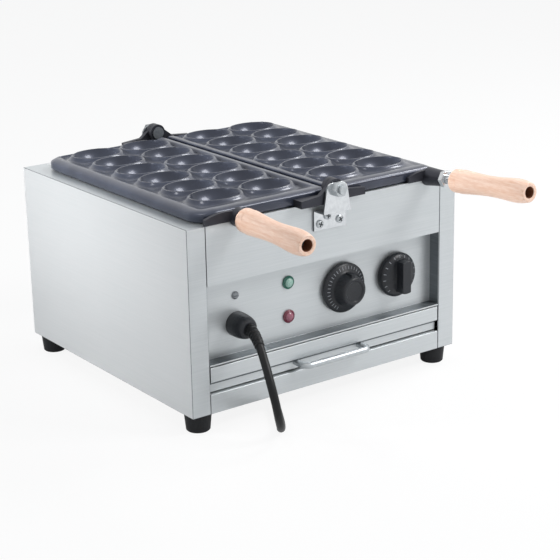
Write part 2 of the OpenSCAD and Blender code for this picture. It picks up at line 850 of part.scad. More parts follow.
// On the right plate the rod's lock nut shows in front of the lug
module right_handle_nut() {
    color(steel) {
        on_handle(right_handle_x, right_splay, right_tilt) translate([0, 0, right_boss_end])
            hex_nut(rod_dia / 2 + pivot_clear, handle_nut_flats, handle_nut_t);
        end_nut(right_handle_x, right_splay, right_tilt, right_grip_start);
    }
}

// Radius of a grip along its length: full near both ends and drawn in at the waist
grip_waist = 2.2;
grip_steps = 14;
function grip_r(t) =
    grip_dia / 2 - grip_waist * sin(180 * t) ^ 2 - (grip_dia / 2 - grip_end_r) * max(0, (t - 0.72) / 0.28) ^ 3;

module grip_profile() {
    bore = rod_dia / 2 + pivot_clear;
    groove = 0.9;
    polygon(concat(
        [[bore, 0], [grip_r(0) - 1.5, 0]],
        [for (k = [1 : grip_steps])
            let (t = k / grip_steps) [grip_r(t) - (k == 1 ? groove : 0), t * grip_len]],
        [[end_hole_r, grip_len], [end_hole_r, grip_len - rod_stop - 2], [bore, grip_len - rod_stop - 2]]));
}

module grip(x, splay, tilt, grip_start) {
    on_handle(x, splay, tilt) translate([0, 0, grip_start]) rotate_extrude() grip_profile();
}

module left_grip() {
    color(beech) mirror([1, 0, 0]) grip(left_handle_x, left_splay, left_tilt, left_grip_start);
}

module right_grip() {
    color(beech) grip(right_handle_x, right_splay, right_tilt, right_grip_start);
}

// Controls

z_knob = z_ledge + knob_z;
z_red = z_ledge + lamp_z;
z_green = z_red + lamp_pitch;
z_gland = z_ledge + gland_z;
knob_gap = 1;
shaft_in_knob = 14;
shaft_fit = 0.02;
shaft_in_switch = 14;

// A knob in front of the panel, with its bore for the shaft
module knob(x) {
    y_face = y_panel - knob_gap;
    color(black_plastic) difference() {
        translate([x, y_face, z_knob]) rotate([90, 0, 0]) children();
        bar_y(x, z_knob, y_face - shaft_in_knob, y_face + eps, shaft_dia / 2 + shaft_fit);
    }
}

// The timer's knob: a skirt for the dial, a tall drum with a dished face and a pointer on its top
module timer_knob() {
    r = timer_knob_dia / 2;
    drum = 0.64 * r;
    face = 0.56 * r;
    knob(timer_x) {
        rotate_extrude() polygon([
            [0, 0], [r - 0.6, 0], [r, 0.8], [r, 3.4], [r - 1.6, 5], [drum + 1.4, 6.4], [drum, 7.8],
            [face, knob_len - 1.4], [face - 1.4, knob_len], [face - 3.4, knob_len],
            [face - 4.4, knob_len - 1.2], [0, knob_len - 1.2]]);
        translate([-1.6, face - 2, 6]) cube([3.2, drum - face + 2.6, knob_len - 9]);
    }
}

// The thermostat's knob: a domed disc with a finger bar across it
module thermostat_knob() {
    r = thermostat_knob_dia / 2;
    bar_w = 10.5;
    bar_r = 0.74 * r;
    knob(thermostat_x) {
        rotate_extrude() polygon([
            [0, 0], [r - 0.6, 0], [r, 0.8], [r, 4.2], [r - 1.4, 6.4], [r - 5, 8.2], [0, 9.4]]);
        linear_extrude(height = knob_len - 1) intersection() {
            square([bar_w, 2 * r], center = true);
            circle(r = bar_r);
        }
    }
}

module control_shaft(x) {
    bar_y(x, z_knob, y_panel - knob_gap - shaft_in_knob + 0.5, y_panel_back + shaft_in_switch, shaft_dia / 2);
}

module timer_shaft() {
    color(steel) control_shaft(timer_x);
}

module thermostat_shaft() {
    color(steel) control_shaft(thermostat_x);
}

module shaft_bore(x) {
    bar_y(x, z_knob, y_panel_back - eps, y_panel_back + shaft_in_switch + 0.5, shaft_dia / 2 + pivot_clear);
}

module timer_switch() {
    half = 22;
    deep = 34;
    color(black_plastic) difference() {
        block([timer_x - half, y_panel_back, z_knob - half],
              [timer_x + half, y_panel_back + deep, z_knob + half]);
        shaft_bore(timer_x);
    }
}

module thermostat() {
    color(dark_steel) difference() {
        union() {
            bar_y(thermostat_x, z_knob, y_panel_back, y_panel_back + 26, 18);
            block([thermostat_x - 24, y_panel_back, z_knob - 7],
                  [thermostat_x + 24, y_panel_back + 2, z_knob + 7]);
        }
        shaft_bore(thermostat_x);
    }
}

lamp_barrel_r = 5.2;
lens_r = 4.6;

module lamp_holder(z) {
    r = lamp_dia / 2;
    turned(-lamp_x, z) polygon([[lens_r + 0.05, -4], [lens_r + 0.05, 2.6], [r - 1.6, 3], [r, 1.4], [r, 0],
                                [lamp_barrel_r, 0], [lamp_barrel_r, -20], [0, -20], [0, -4]]);
}

module lamp_lens(z) {
    turned(-lamp_x, z) difference() {
        union() {
            translate([0, -3.9]) square([lens_r, 6.4]);
            intersection() {
                translate([0, 2.5 - 4.2]) circle(r = sqrt(lens_r * lens_r + 4.2 * 4.2));
                translate([0, 2.5]) square([lens_r, 6]);
            }
        }
        translate([-20, -10]) square([20, 40]);
    }
}

module green_lamp_holder() { color("#3E6F62") lamp_holder(z_green); }
module green_lamp_lens() { color("#A9D3C2") lamp_lens(z_green); }
module red_lamp_holder() { color("#6E2A38") lamp_holder(z_red); }
module red_lamp_lens() { color("#B5606E") lamp_lens(z_red); }

panel_screw_x = 100;
panel_screw_r = 2;
z_panel_screw = z_ledge + 58;

module panel_screw() {
    head_r = 3.8;
    slot = 0.9;
    color(dark_steel) difference() {
        turned(-panel_screw_x, z_panel_screw)
            polygon([[0, -8], [panel_screw_r, -8], [panel_screw_r, 0], [head_r, 0], [head_r, 0.8],
                     [2.6, 2.2], [0, 2.6]]);
        block([-panel_screw_x - head_r, y_panel - 3, z_panel_screw - slot / 2],
              [-panel_screw_x + head_r, y_panel - 1.4, z_panel_screw + slot / 2]);
    }
}

gland_barrel_r = 8;
gland_len = 22;
gland_back = 14;

// A cable gland with a domed cap, and its nut behind the panel
module cable_gland() {
    r = gland_dia / 2;
    mouth_r = cord_dia / 2 + 3;
    dome = [for (a = [0 : 15 : 75]) [mouth_r + (r - mouth_r) * cos(a), 6 + (gland_len - 6) * sin(a)]];
    color(black_plastic) turned(-gland_x, z_gland)
        polygon(concat([[0, -gland_back], [gland_barrel_r, -gland_back], [gland_barrel_r, 0], [r, 0]], dome,
                       [[mouth_r, gland_len], [0, gland_len]]));
}

module gland_nut() {
    color(black_plastic) translate([-gland_x, y_panel_back, z_gland]) rotate([-90, 0, 0])
        hex_nut(gland_barrel_r + 0.05, 24, 6);
}

module terminal_block() {
    x0 = -x_side + 40;
    y0 = y_panel_back + 20;
    z0 = z_low + sheet;
    pitch = 14;
    color("#D8D4C6") difference() {
        block([x0, y0, z0], [x0 + 4 * pitch + 4, y0 + 18, z0 + 16]);
        for (k = [0 : 3])
            translate([x0 + 9 + pitch * k, y0 + 9, z0 + 8]) cylinder(h = 10, r = 3);
    }
}

// Mains lead. It leaves the gland straight, droops to the surface, turns back under
// the body and runs to a coil that lies close behind it.

cord_z = 5;
coil_z = 5.4;
cord_sides = 10;
ring_step = 22;
coil_start = [134.5, 192];
coil_from = -30;
run_dir = [cos(coil_from + 90), sin(coil_from + 90), 0];
coil_in = [coil_start[0], coil_start[1], coil_z] - cord_dia * run_dir;
cord_route = [
    [-99.5, -152, 95], [-99.5, -161.5, 94.6], [-101.3, -171, 92.6], [-104.2, -181, 88.4],
    [-107.2, -190.5, 82], [-109.7, -199.5, 73.4], [-111.3, -207, 63.2], [-111.8, -213, 51.5],
    [-110.8, -216.3, 39], [-107.3, -215, 26], [-101.3, -209.3, 15], [-94.4, -200.4, 7.8],
    [-87, -190.5, 5.2], [-80, -179.6, cord_z],
    [-68, -159, cord_z], [-43, -115.5, cord_z], [7, -29, cord_z], [57, 57.5, cord_z], [107, 144, cord_z],
    coil_in - cord_dia * run_dir, coil_in];

// The coil goes on from the route's end and winds to the left
coil_mid = coil_start - coil_r * [cos(coil_from), sin(coil_from)];
loop_rings = 24;
loop_sides = 6;
turn_in = 360 * coil_turns;
turn_all = 2 * turn_in + 180;

// Radius and height of the coil at a turn of a degrees: in, up a layer in half a turn, and out again
function coil_radius(a) = coil_r - coil_pitch / 360 * min(a, turn_all - a);
function coil_height(a) =
    coil_z + coil_layer * (a < turn_in ? 0 : a < turn_in + 180 ? (1 - cos(a - turn_in)) / 2 : 1);
function coil_point(a) =
    concat(coil_mid + coil_radius(a) * [cos(coil_from + a), sin(coil_from + a)], coil_height(a));
coil_end_angle = coil_from + turn_all;
coil_end_dir = [-sin(coil_end_angle), cos(coil_end_angle), 0];
coil_path = concat(
    [coil_in],
    [for (k = [0 : turn_all * loop_rings / 360]) coil_point(k * 360 / loop_rings)],
    [coil_point(turn_all) + cord_dia * coil_end_dir]);

// The lead's last stretch turns away from the coil to the plug
plug_bend_r = 34;
plug_turn = 60;
coil_out = coil_path[len(coil_path) - 1];
tail_straight = cord_dia / 2;
function tail_point(a) =
    coil_out + tail_straight * coil_end_dir
    + plug_bend_r * (sin(a) * coil_end_dir + (1 - cos(a)) * [coil_end_dir[1], -coil_end_dir[0], 0]);
plug_dir = [coil_end_dir[0] * cos(plug_turn) + coil_end_dir[1] * sin(plug_turn),
            coil_end_dir[1] * cos(plug_turn) - coil_end_dir[0] * sin(plug_turn), 0];
tail_path = concat(
    [coil_out],
    [for (a = [0 : 12 : plug_turn]) tail_point(a)],
    [tail_point(plug_turn) + cord_dia * plug_dir]);
plug_at = tail_path[len(tail_path) - 1];

function unit(v) = v / norm(v);
function along(p, k) = unit(p[min(k + 1, len(p) - 1)] - p[max(k - 1, 0)]);

// Points between the route's own, so that rings lie no further apart than ring_step
function spaced(p) = concat(
    [for (k = [0 : len(p) - 2]) let (n = ceil(norm(p[k + 1] - p[k]) / ring_step))
        for (m = [0 : n - 1]) p[k] + (p[k + 1] - p[k]) * m / n],
    [p[len(p) - 1]]);

// A closed tube of radius r along a path, with one ring at each of the path's points.
// The path stays nearly square to the direction up.
module tube(p, r, sides, up) {
    rings = len(p);
    points = [for (k = [0 : rings - 1])
        let (d = along(p, k), u = unit(cross(d, up)), v = cross(u, d))
        for (s = [0 : sides - 1]) p[k] + r * (cos(360 * s / sides) * u + sin(360 * s / sides) * v)];
    skin = [for (k = [0 : rings - 2], s = [0 : sides - 1])
        let (a = k * sides + s, b = k * sides + (s + 1) % sides)
        for (f = [[a, b, b + sides], [a, b + sides, a + sides]]) f];
    last = (rings - 1) * sides;
    caps = [for (s = [1 : sides - 2]) for (f = [[0, s + 1, s], [last, last + s, last + s + 1]]) f];
    polyhedron(points, concat(skin, caps));
}

// The least gap between turns of the coil that are more than half a turn apart
apart = loop_rings / 2;
coil_gap = min([for (i = [0 : len(coil_path) - 1], j = [0 : len(coil_path) - 1])
    if (j - i > apart) norm(coil_path[j] - coil_path[i])]) - cord_dia;
function path_length(p) =
    [for (k = [1 : len(p) - 1]) norm(p[k] - p[k - 1])] * [for (k = [1 : len(p) - 1]) 1];
echo(least_coil_gap = coil_gap, shift = -y_origin, pitch = [cup_pitch_x, cup_pitch_y], bow = bow_z,
     lead_length = path_length(cord_route) + path_length(coil_path) + path_length(tail_path));

module power_cord() {
    color(rubber) tube(spaced(cord_route), cord_dia / 2, cord_sides, [0.73, -0.42, 0.34]);
}

module cord_coil() {
    color(rubber) tube(coil_path, cord_dia / 2, loop_sides, [0, 0, 1]);
}

module plug_lead() {
    color(rubber) tube(tail_path, cord_dia / 2, cord_sides, [0, 0, 1]);
}

tie_w = 9;
tie_t = 1;
tie_angle = 70;
tie_clear = 0.3;

// A strap round all the turns of the coil
module coil_tie() {
    r0 = coil_r - coil_pitch * turn_all / 720 - cord_dia / 2 - tie_clear;
    r1 = coil_r + cord_dia / 2 + tie_clear;
    z0 = coil_z - cord_dia / 2 - tie_clear;
    z1 = coil_z + coil_layer + cord_dia / 2 + tie_clear;
    color(rubber) translate([coil_mid[0], coil_mid[1], 0]) rotate([0, 0, tie_angle]) difference() {
        block([r0 - tie_t, -tie_w / 2, z0 - tie_t], [r1 + tie_t, tie_w / 2, z1 + tie_t]);
        block([r0, -tie_w, z0], [r1, tie_w, z1]);
    }
}

plug_r = 13;
plug_body = 30;
plug_neck = 14;
pin_r = 2.4;
pin_len = 19;
pin_half = 6.5;

// A moulded plug with a tapered neck and two round pins
module mains_plug() {
    color(rubber) translate(plug_at) rotate([0, 90, atan2(plug_dir[1], plug_dir[0])]) {
        rotate_extrude() polygon([[0, 0], [cord_dia / 2 + 1, 0], [cord_dia / 2 + 2.5, plug_neck],
                                  [plug_r - 2, plug_neck + 2],
                                  [plug_r, plug_neck + 5], [plug_r, plug_neck + plug_body - 2],
                                  [plug_r - 2, plug_neck + plug_body], [0, plug_neck + plug_body]]);
        for (y = [-pin_half, pin_half])
            translate([0, y, plug_neck + plug_body]) rotate_extrude()
                polygon([[0, 0], [pin_r, 0], [pin_r, pin_len - 1.5], [pin_r - 1.2, pin_len], [0, pin_len]]);
    }
}

// The whole object moves so that the origin is the middle of its box
module place() {
    translate([0, -y_origin, 0]) children();
}

place() base_pan();
place() left_side_panel();
place() right_side_panel();
place() back_panel();
place() upper_front_panel();
place() control_panel();
place() lower_front_rail();
place() heat_shield();
place() heater_supports();
place() left_heating_tube();
place() right_heating_tube();
place() drawer_runners();
place() drawer_tray();
place() drawer_front();
place() drawer_handle();
place() front_left_foot();
place() front_right_foot();
place() back_left_foot();
place() back_right_foot();
place() foot_screws();
place() left_mould_plate();
place() right_mould_plate();
place() left_front_hinge_arm();
place() left_rear_hinge_arm();
place() right_front_hinge_arm();
place() right_rear_hinge_arm();
place() front_hinge_bracket();
place() rear_hinge_bracket();
place() front_hinge_bolt();
place() rear_hinge_bolt();
place() front_hinge_nut();
place() rear_hinge_nut();
place() bracket_screws();
place() left_handle_lug();
place() right_handle_lug();
place() left_handle_rod();
place() right_handle_rod();
place() left_handle_nut();
place() right_handle_nut();
place() left_grip();
place() right_grip();
place() timer_knob();
place() thermostat_knob();
place() timer_shaft();
place() thermostat_shaft();
place() timer_switch();
place() thermostat();
place() green_lamp_holder();
place() green_lamp_lens();
place() red_lamp_holder();
place() red_lamp_lens();
place() panel_screw();
place() cable_gland();
place() gland_nut();
place() terminal_block();
place() power_cord();
place() cord_coil();
place() plug_lead();
place() coil_tie();
place() mains_plug();
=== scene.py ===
# %% [markdown]
# # An electric muffin maker
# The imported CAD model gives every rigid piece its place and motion. This lesson dresses it: a
# camera, the mains lead, the cast mould plates, the turned grips and a material for each finish.

# %% Load the frame
import json
import math

import bmesh
import bpy
import numpy as np
from mathutils import Matrix, Vector

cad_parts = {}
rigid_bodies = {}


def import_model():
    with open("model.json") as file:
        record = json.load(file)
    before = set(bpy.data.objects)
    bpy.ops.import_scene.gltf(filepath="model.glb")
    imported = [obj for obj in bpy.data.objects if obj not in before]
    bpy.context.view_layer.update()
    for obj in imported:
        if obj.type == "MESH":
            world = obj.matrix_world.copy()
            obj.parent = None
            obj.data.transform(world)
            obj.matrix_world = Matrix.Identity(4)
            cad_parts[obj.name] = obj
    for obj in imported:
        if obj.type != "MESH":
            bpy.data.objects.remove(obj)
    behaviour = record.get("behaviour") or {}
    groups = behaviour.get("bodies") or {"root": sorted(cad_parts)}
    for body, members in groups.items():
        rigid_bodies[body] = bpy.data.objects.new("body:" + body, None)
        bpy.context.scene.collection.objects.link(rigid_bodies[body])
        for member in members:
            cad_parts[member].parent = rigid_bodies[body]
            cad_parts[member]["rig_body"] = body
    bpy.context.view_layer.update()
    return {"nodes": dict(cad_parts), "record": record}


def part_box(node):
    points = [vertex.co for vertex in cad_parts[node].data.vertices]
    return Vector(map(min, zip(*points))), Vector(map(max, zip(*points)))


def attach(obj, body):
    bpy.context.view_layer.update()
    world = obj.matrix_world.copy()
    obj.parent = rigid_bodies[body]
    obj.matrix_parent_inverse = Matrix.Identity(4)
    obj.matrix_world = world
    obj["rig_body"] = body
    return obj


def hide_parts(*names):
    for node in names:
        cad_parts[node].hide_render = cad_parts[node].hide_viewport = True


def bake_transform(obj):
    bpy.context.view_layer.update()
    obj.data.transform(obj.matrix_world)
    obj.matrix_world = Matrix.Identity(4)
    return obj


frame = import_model()
nodes = frame["nodes"]
MM = 0.001
scene = bpy.context.scene
scene.view_settings.view_transform = "Standard"

# %% [markdown]
# ## Landmarks
# The new pieces have to meet the solids, so the main levels are read from the CAD nodes' own boxes
# and not typed again.

# %% Landmarks of the cabinet, in metres


def box_mm(node):
    """Low and high corner of a CAD node's box, in millimetres."""
    return [np.array(corner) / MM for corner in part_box(node)]


front_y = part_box("upper_front_panel")[0].y
back_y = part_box("back_panel")[1].y
middle_y = (front_y + back_y) / 2
top_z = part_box("right_side_panel")[1].z
rim_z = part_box("right_mould_plate")[1].z
print("front, back and top in mm:", [round(x / MM, 1) for x in (front_y, back_y, top_z)])

# %% [markdown]
# ## Camera
# The photograph was taken from the left, a little above the object, with a long lens. Turned by eye
# the camera would stand a little off, so its direction, distance and lens were fitted to the
# cabinet's corners and are set from those numbers.

# %% Camera
AZIMUTH, ELEVATION, ROLL = math.radians(-36.051), math.radians(17.876), math.radians(-1.085)
CAMERA_FROM_CABINET = Vector((-885.5, -1289.9, 585.5)) * MM
FOCAL_PIXELS, FRAME_PIXELS, SENSOR_MM, CLIP_END = 1583.9, 560, 36, 50

back_axis = Vector((math.sin(AZIMUTH) * math.cos(ELEVATION),
                    -math.cos(AZIMUTH) * math.cos(ELEVATION),
                    math.sin(ELEVATION)))
level_right = Vector((math.cos(AZIMUTH), math.sin(AZIMUTH), 0))
level_up = back_axis.cross(level_right)
right_axis = level_right * math.cos(ROLL) + level_up * math.sin(ROLL)
up_axis = level_up * math.cos(ROLL) - level_right * math.sin(ROLL)

camera_data = bpy.data.cameras.new("camera")
camera_data.sensor_width = SENSOR_MM
camera_data.lens = FOCAL_PIXELS / FRAME_PIXELS * SENSOR_MM
camera_data.clip_end = CLIP_END
camera = bpy.data.objects.new("camera", camera_data)
camera_turn = Matrix((right_axis, up_axis, back_axis)).transposed().to_4x4()
camera_place = Matrix.Translation(CAMERA_FROM_CABINET + Vector((0, middle_y, 0)))
camera.matrix_world = camera_place @ camera_turn
scene.collection.objects.link(camera)
scene.camera = camera
print("lens in mm:", round(camera_data.lens, 2))

# %% [markdown]
# ## Putting a surface into Blender
# A shape here is a grid of points: rows along one parameter and columns along the other.
# Two small helpers turn such grids into meshes, with whole arrays and no loop over points.

# %% Grids to meshes


def grid_quads(rows, columns, close_columns=False):
    """Corner numbers of each square of a grid, numbered row by row; closed columns wrap round."""
    number = np.arange(rows * columns).reshape(rows, columns)
    number = np.hstack([number, number[:, :1]]) if close_columns else number
    corners = [number[:-1, :-1], number[:-1, 1:], number[1:, 1:], number[1:, :-1]]
    return np.stack(corners, -1).reshape(-1, 4)


def make_piece(name, points, quads, body, stands_for=(), sharp_degrees=40):
    """An object at the origin from an array of points in metres and an array of corner numbers."""
    mesh = bpy.data.meshes.new(name)
    mesh.from_pydata(np.asarray(points).tolist(), [], [tuple(face) for face in quads])
    mesh.shade_smooth()
    mesh.set_sharp_from_angle(angle=math.radians(sharp_degrees))
    mesh.validate()
    piece = bpy.data.objects.new(name, mesh)
    scene.collection.objects.link(piece)
    if stands_for:
        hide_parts(*stands_for)
    if body:
        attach(piece, body)
    return piece


# %% [markdown]
# ## Softened edges
# Folded sheet and castings have no knife edges. They could be rounded in CAD, but that makes heavy
# solids. Here a copy of a CAD node is merged into one skin, its flat faces are joined, and a Bevel
# modifier rounds each fold, so that edges catch the light.

# %% Copies of CAD nodes with rounded edges
MERGE_DISTANCE, FLAT_DEGREES, FOLD_DEGREES, BEVEL_SEGMENTS = 2e-6, 1, 35, 2


def softened(node, width_mm):
    """A merged copy of a CAD node with a bevel of that width on every edge that is a fold."""
    mesh = nodes[node].data.copy()
    work = bmesh.new()
    work.from_mesh(mesh)
    bmesh.ops.remove_doubles(work, verts=work.verts, dist=MERGE_DISTANCE)
    bmesh.ops.dissolve_limit(work, angle_limit=math.radians(FLAT_DEGREES), verts=work.verts,
                             edges=work.edges)
    work.to_mesh(mesh)
    work.free()
    mesh.shade_smooth()
    mesh.set_sharp_from_angle(angle=math.radians(FOLD_DEGREES))
    piece = bpy.data.objects.new("soft_" + node, mesh)
    scene.collection.objects.link(piece)
    rounding = piece.modifiers.new("rounding", "BEVEL")
    rounding.width = width_mm * MM
    rounding.segments = BEVEL_SEGMENTS
    rounding.limit_method = "ANGLE"
    rounding.angle_limit = math.radians(FOLD_DEGREES)
    rounding.harden_normals = True
    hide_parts(node)
    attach(piece, nodes[node]["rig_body"])
    return piece


FOLDED_NODES = ["left_side_panel", "right_side_panel", "back_panel", "upper_front_panel",
                "control_panel", "lower_front_rail", "drawer_front", "front_hinge_bracket",
                "rear_hinge_bracket", "front_hinge_nut", "rear_hinge_nut"]
ARM_NODES = [f"{side}_{end}_hinge_arm" for side in ("left", "right") for end in ("front", "rear")]
ROUNDED_MM = {
    **dict.fromkeys(FOLDED_NODES, 0.5), "right_handle_nut": 0.4, **dict.fromkeys(ARM_NODES, 1.0),
    "left_handle_lug": 0.9, "right_handle_lug": 0.9, "timer_knob": 0.5, "thermostat_knob": 0.6,
    "mains_plug": 0.6, "coil_tie": 0.5}
soft = {node: softened(node, width) for node, width in ROUNDED_MM.items()}
print("softened nodes:", len(soft))

# %% [markdown]
# ## Mains lead
# The lead is a round black rubber cable. It leaves the gland straight, droops to the table, turns
# back under the cabinet, and its spare length lies in a tied coil behind it. The route's points are
# those of the CAD source, in millimetres from the cabinet's middle.

# %% Route of the lead
CORD_D, CORD_Z, ROUTE_STEP = 8, 5, 2.5
route = np.array([
    [-99.5, -152, 95], [-99.5, -161.5, 94.6], [-101.3, -171, 92.6], [-104.2, -181, 88.4],
    [-107.2, -190.5, 82], [-109.7, -199.5, 73.4], [-111.3, -207, 63.2], [-111.8, -213, 51.5],
    [-110.8, -216.3, 39], [-107.3, -215, 26], [-101.3, -209.3, 15], [-94.4, -200.4, 7.8],
    [-87, -190.5, 5.2], [-80, -179.6, CORD_Z], [-68, -159, CORD_Z], [-43, -115.5, CORD_Z],
    [7, -29, CORD_Z], [57, 57.5, CORD_Z], [107, 144, CORD_Z]], float)


def smooth_line(points, step):
    """A Catmull-Rom line through the points, with a sample about every step: each span is a cubic
    whose slope at a point is half the way from the point before it to the point after it."""
    ends = np.vstack([2 * points[:1] - points[1:2], points, 2 * points[-1:] - points[-2:-1]])
    p0, p1, p2, p3 = ends[:-3], ends[1:-2], ends[2:-1], ends[3:]
    count = np.maximum(np.ceil(np.linalg.norm(p2 - p1, axis=1) / step).astype(int), 1)
    span = np.repeat(np.arange(len(p1)), count)
    t = (np.concatenate([np.arange(n) / n for n in count]))[:, None]
    a, b, c, d = p0[span], p1[span], p2[span], p3[span]
    square = a - 2.5 * b + 2 * c - 0.5 * d
    cube = 3 * b - a - 3 * c + d
    line = b + 0.5 * t * (c - a) + t**2 * square + 0.5 * t**3 * cube
    return np.vstack([line, points[-1:]])


print("points of the route:", len(route))

# %% [markdown]
# The coil is a spiral of two layers: it goes in turn by turn, climbs to the second layer in the
# middle and comes out again over itself.

# %% Coil and whole centre line
COIL_R, COIL_PITCH, COIL_LAYER, COIL_TURNS, COIL_Z = 53, 8.8, 8.6, 2, 5.4
COIL_START, COIL_FROM, COIL_SAMPLES, CLIMB_TURNS = np.array([134.5, 192.0]), -30, 320, 0.5
PLUG_BEND_R, PLUG_TURN, PLUG_SAMPLES, TAIL_STRAIGHT = 34, 60, 14, 4


def coil_line(samples):
    """The coil: radius falls by one pitch a turn to half way and grows again; height rises by one
    layer in the half turn in the middle, along a cosine."""
    turns = np.linspace(0, 2 * COIL_TURNS + CLIMB_TURNS, samples)
    radius = COIL_R - COIL_PITCH * np.minimum(turns, turns[-1] - turns)
    climb = (1 - np.cos(np.pi * np.clip((turns - COIL_TURNS) / CLIMB_TURNS, 0, 1))) / 2
    start = math.radians(COIL_FROM)
    angle = np.radians(COIL_FROM) + 2 * np.pi * turns
    centre = COIL_START - COIL_R * np.array([math.cos(start), math.sin(start)])
    return np.stack([centre[0] + radius * np.cos(angle), centre[1] + radius * np.sin(angle),
                     COIL_Z + COIL_LAYER * climb], 1)


run_angle, plug_angle = math.radians(COIL_FROM + 90), math.radians(PLUG_TURN)
run = np.array([math.cos(run_angle), math.sin(run_angle), 0])
side_way = np.array([-run[1], run[0], 0])
coil_in = np.array([*COIL_START, COIL_Z]) - CORD_D * run
coil = coil_line(COIL_SAMPLES)
coil_out = coil[-1] - CORD_D * run
bend = np.radians(np.linspace(0, PLUG_TURN, PLUG_SAMPLES))[:, None]
plug_bend = PLUG_BEND_R * (-np.sin(bend) * run + (1 - np.cos(bend)) * side_way)
tail = coil_out - TAIL_STRAIGHT * run + plug_bend
plug_way = -run * math.cos(plug_angle) + side_way * math.sin(plug_angle)
hanging = smooth_line(np.vstack([route, coil_in - CORD_D * run, coil_in]), ROUTE_STEP)
lead_line = np.vstack([hanging, coil, coil_out, tail, tail[-1] + CORD_D * plug_way])
lead_line = (lead_line + [0, middle_y / MM, 0]) * MM

# %% [markdown]
# ## The lead as a tube
# A ring of points stands square to the line at each sample. Its first direction is square to a
# fixed way that the hanging lead never follows, and to the upright once the lead lies on the table,
# so that the rings line up and the tube doesn't twist. A fan of triangles closes each end.

# %% Tube along a line
CORD_SIDES = 14
HANGING_WAY, LYING_WAY = np.array([0.73, -0.42, 0.34]), np.array([0, 0, 1])
LYING_FROM, LYING_SPAN = 0.010, 0.004


def tube_points(line, radius, sides):
    """Rings of points round a line: at each sample two directions square to the line's slope, and a
    circle in them."""
    slope = np.gradient(line, axis=0)
    slope /= np.linalg.norm(slope, axis=1, keepdims=True)
    lying = np.clip((LYING_FROM - line[:, 2:3]) / LYING_SPAN, 0, 1)
    lying = np.maximum.accumulate(lying)
    steady = HANGING_WAY * (1 - lying) + LYING_WAY * lying
    across = np.cross(slope, steady)
    across /= np.linalg.norm(across, axis=1, keepdims=True)
    upward = np.cross(across, slope)
    turn = np.linspace(0, 2 * np.pi, sides, endpoint=False)[None, :, None]
    ring = across[:, None] * np.cos(turn) + upward[:, None] * np.sin(turn)
    return line[:, None] + np.reshape(radius, (-1, 1, 1)) * ring


rings = tube_points(lead_line, CORD_D / 2 * MM, CORD_SIDES)
cord_quads = grid_quads(len(lead_line), CORD_SIDES, close_columns=True)
cord_points = np.vstack([rings.reshape(-1, 3), lead_line[:1], lead_line[-1:]])
first = np.arange(CORD_SIDES)
last, tip = first + (len(lead_line) - 1) * CORD_SIDES, len(cord_points)
cap_faces = np.vstack([np.stack([np.roll(first, -1), first, np.full(CORD_SIDES, tip - 2)], 1),
                       np.stack([last, np.roll(last, -1), np.full(CORD_SIDES, tip - 1)], 1)])
cord = make_piece("mains_lead", cord_points, [*cord_quads.tolist(), *cap_faces.tolist()], None,
                  ("power_cord", "cord_coil", "plug_lead"))
print("faces of the lead:", len(cord.data.polygons))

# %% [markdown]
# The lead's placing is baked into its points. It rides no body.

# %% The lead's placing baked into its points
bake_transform(cord)

# %% [markdown]
# ## Strain relief
# A ribbed rubber sleeve guards the lead where it leaves the gland. The same tube as before follows
# the lead's first stretch, with a radius that shrinks along it and a cosine for the ribs.

# %% The sleeve on the lead
SLEEVE_FROM, SLEEVE_TO = -158 * MM + middle_y, -185 * MM + middle_y
SLEEVE_R, SLEEVE_TAPER, RIB_HIGH, RIBS, SLEEVE_END_R = 6.0, 1.4, 0.2, 7, 4.05
SLEEVE_RINGS, SLEEVE_SIDES, NEAR_GLAND = 60, 28, 40
sleeve_line = lead_line[:NEAR_GLAND]
on_sleeve = (sleeve_line[:, 1] < SLEEVE_FROM) & (sleeve_line[:, 1] > SLEEVE_TO)
sleeve_line = sleeve_line[on_sleeve]
along = np.linspace(0, 1, SLEEVE_RINGS)
marks = np.linspace(0, 1, len(sleeve_line))
sleeve_line = np.stack([np.interp(along, marks, sleeve_line[:, k]) for k in range(3)], 1)
sleeve_r = (SLEEVE_R - SLEEVE_TAPER * along + RIB_HIGH * np.cos(2 * np.pi * RIBS * along)) * MM
sleeve_r[[0, -1]] = SLEEVE_END_R * MM
sleeve_points = tube_points(sleeve_line, sleeve_r, SLEEVE_SIDES)
sleeve = make_piece("strain_relief", sleeve_points.reshape(-1, 3),
                    grid_quads(SLEEVE_RINGS, SLEEVE_SIDES, close_columns=True), "cabinet")
print("faces of the sleeve:", len(sleeve.data.polygons))

# %% [markdown]
# ## Cast mould plates
# Each plate is a coated casting with two columns of oval cups. Booleans could cut the cups out of a
# block, but leave sharp rims. Seen from above the plate is a height for every point: the bowl in
# each oval, a rounded crest along its rim, and a flank that falls to the web between the cups. So a
# height field on a fine grid gives all of it, and a second grid gives the underside.

# %% Sizes of a plate, in millimetres
PITCH_X, PITCH_Y, COLUMNS, ROWS = 57.8, 43.3, 2, 6
RIM_HALF, CUP_DEPTH, CUP_WALL = 2.0, 16.0, 4.0
BOWL_EDGE, BOWL_POWER, BOWL_ROOT = 0.965, 2.6, 0.62
WEB_FALL, FALL_LENGTH, CREST_FLAT, BORDER_FALL, CORNER_R = 4.7, 2.6, 0.7, 1.0, 20.0
SEAM_RISE, OUTER_RISE, FRONT_RISE, BACK_RISE = 2, 10, 13, 2
OUTER_FALL, BACK_FALL = {"left": 2.0, "right": 6.5}, 5.0
EDGE_WIDE, EDGE_HIGH, SEAM_EDGE, UNDERCUT, WALL_ROLL = 7.0, 3.0, 1.2, 2.0, 1.2
SEAM_BORDER, FRONT_BORDER, FOOT_GAP = 8.1, 22.1, 0.3
RIM = np.array([PITCH_X / 2 - RIM_HALF, PITCH_Y / 2 - RIM_HALF])
plate_low, plate_high = box_mm("right_mould_plate")
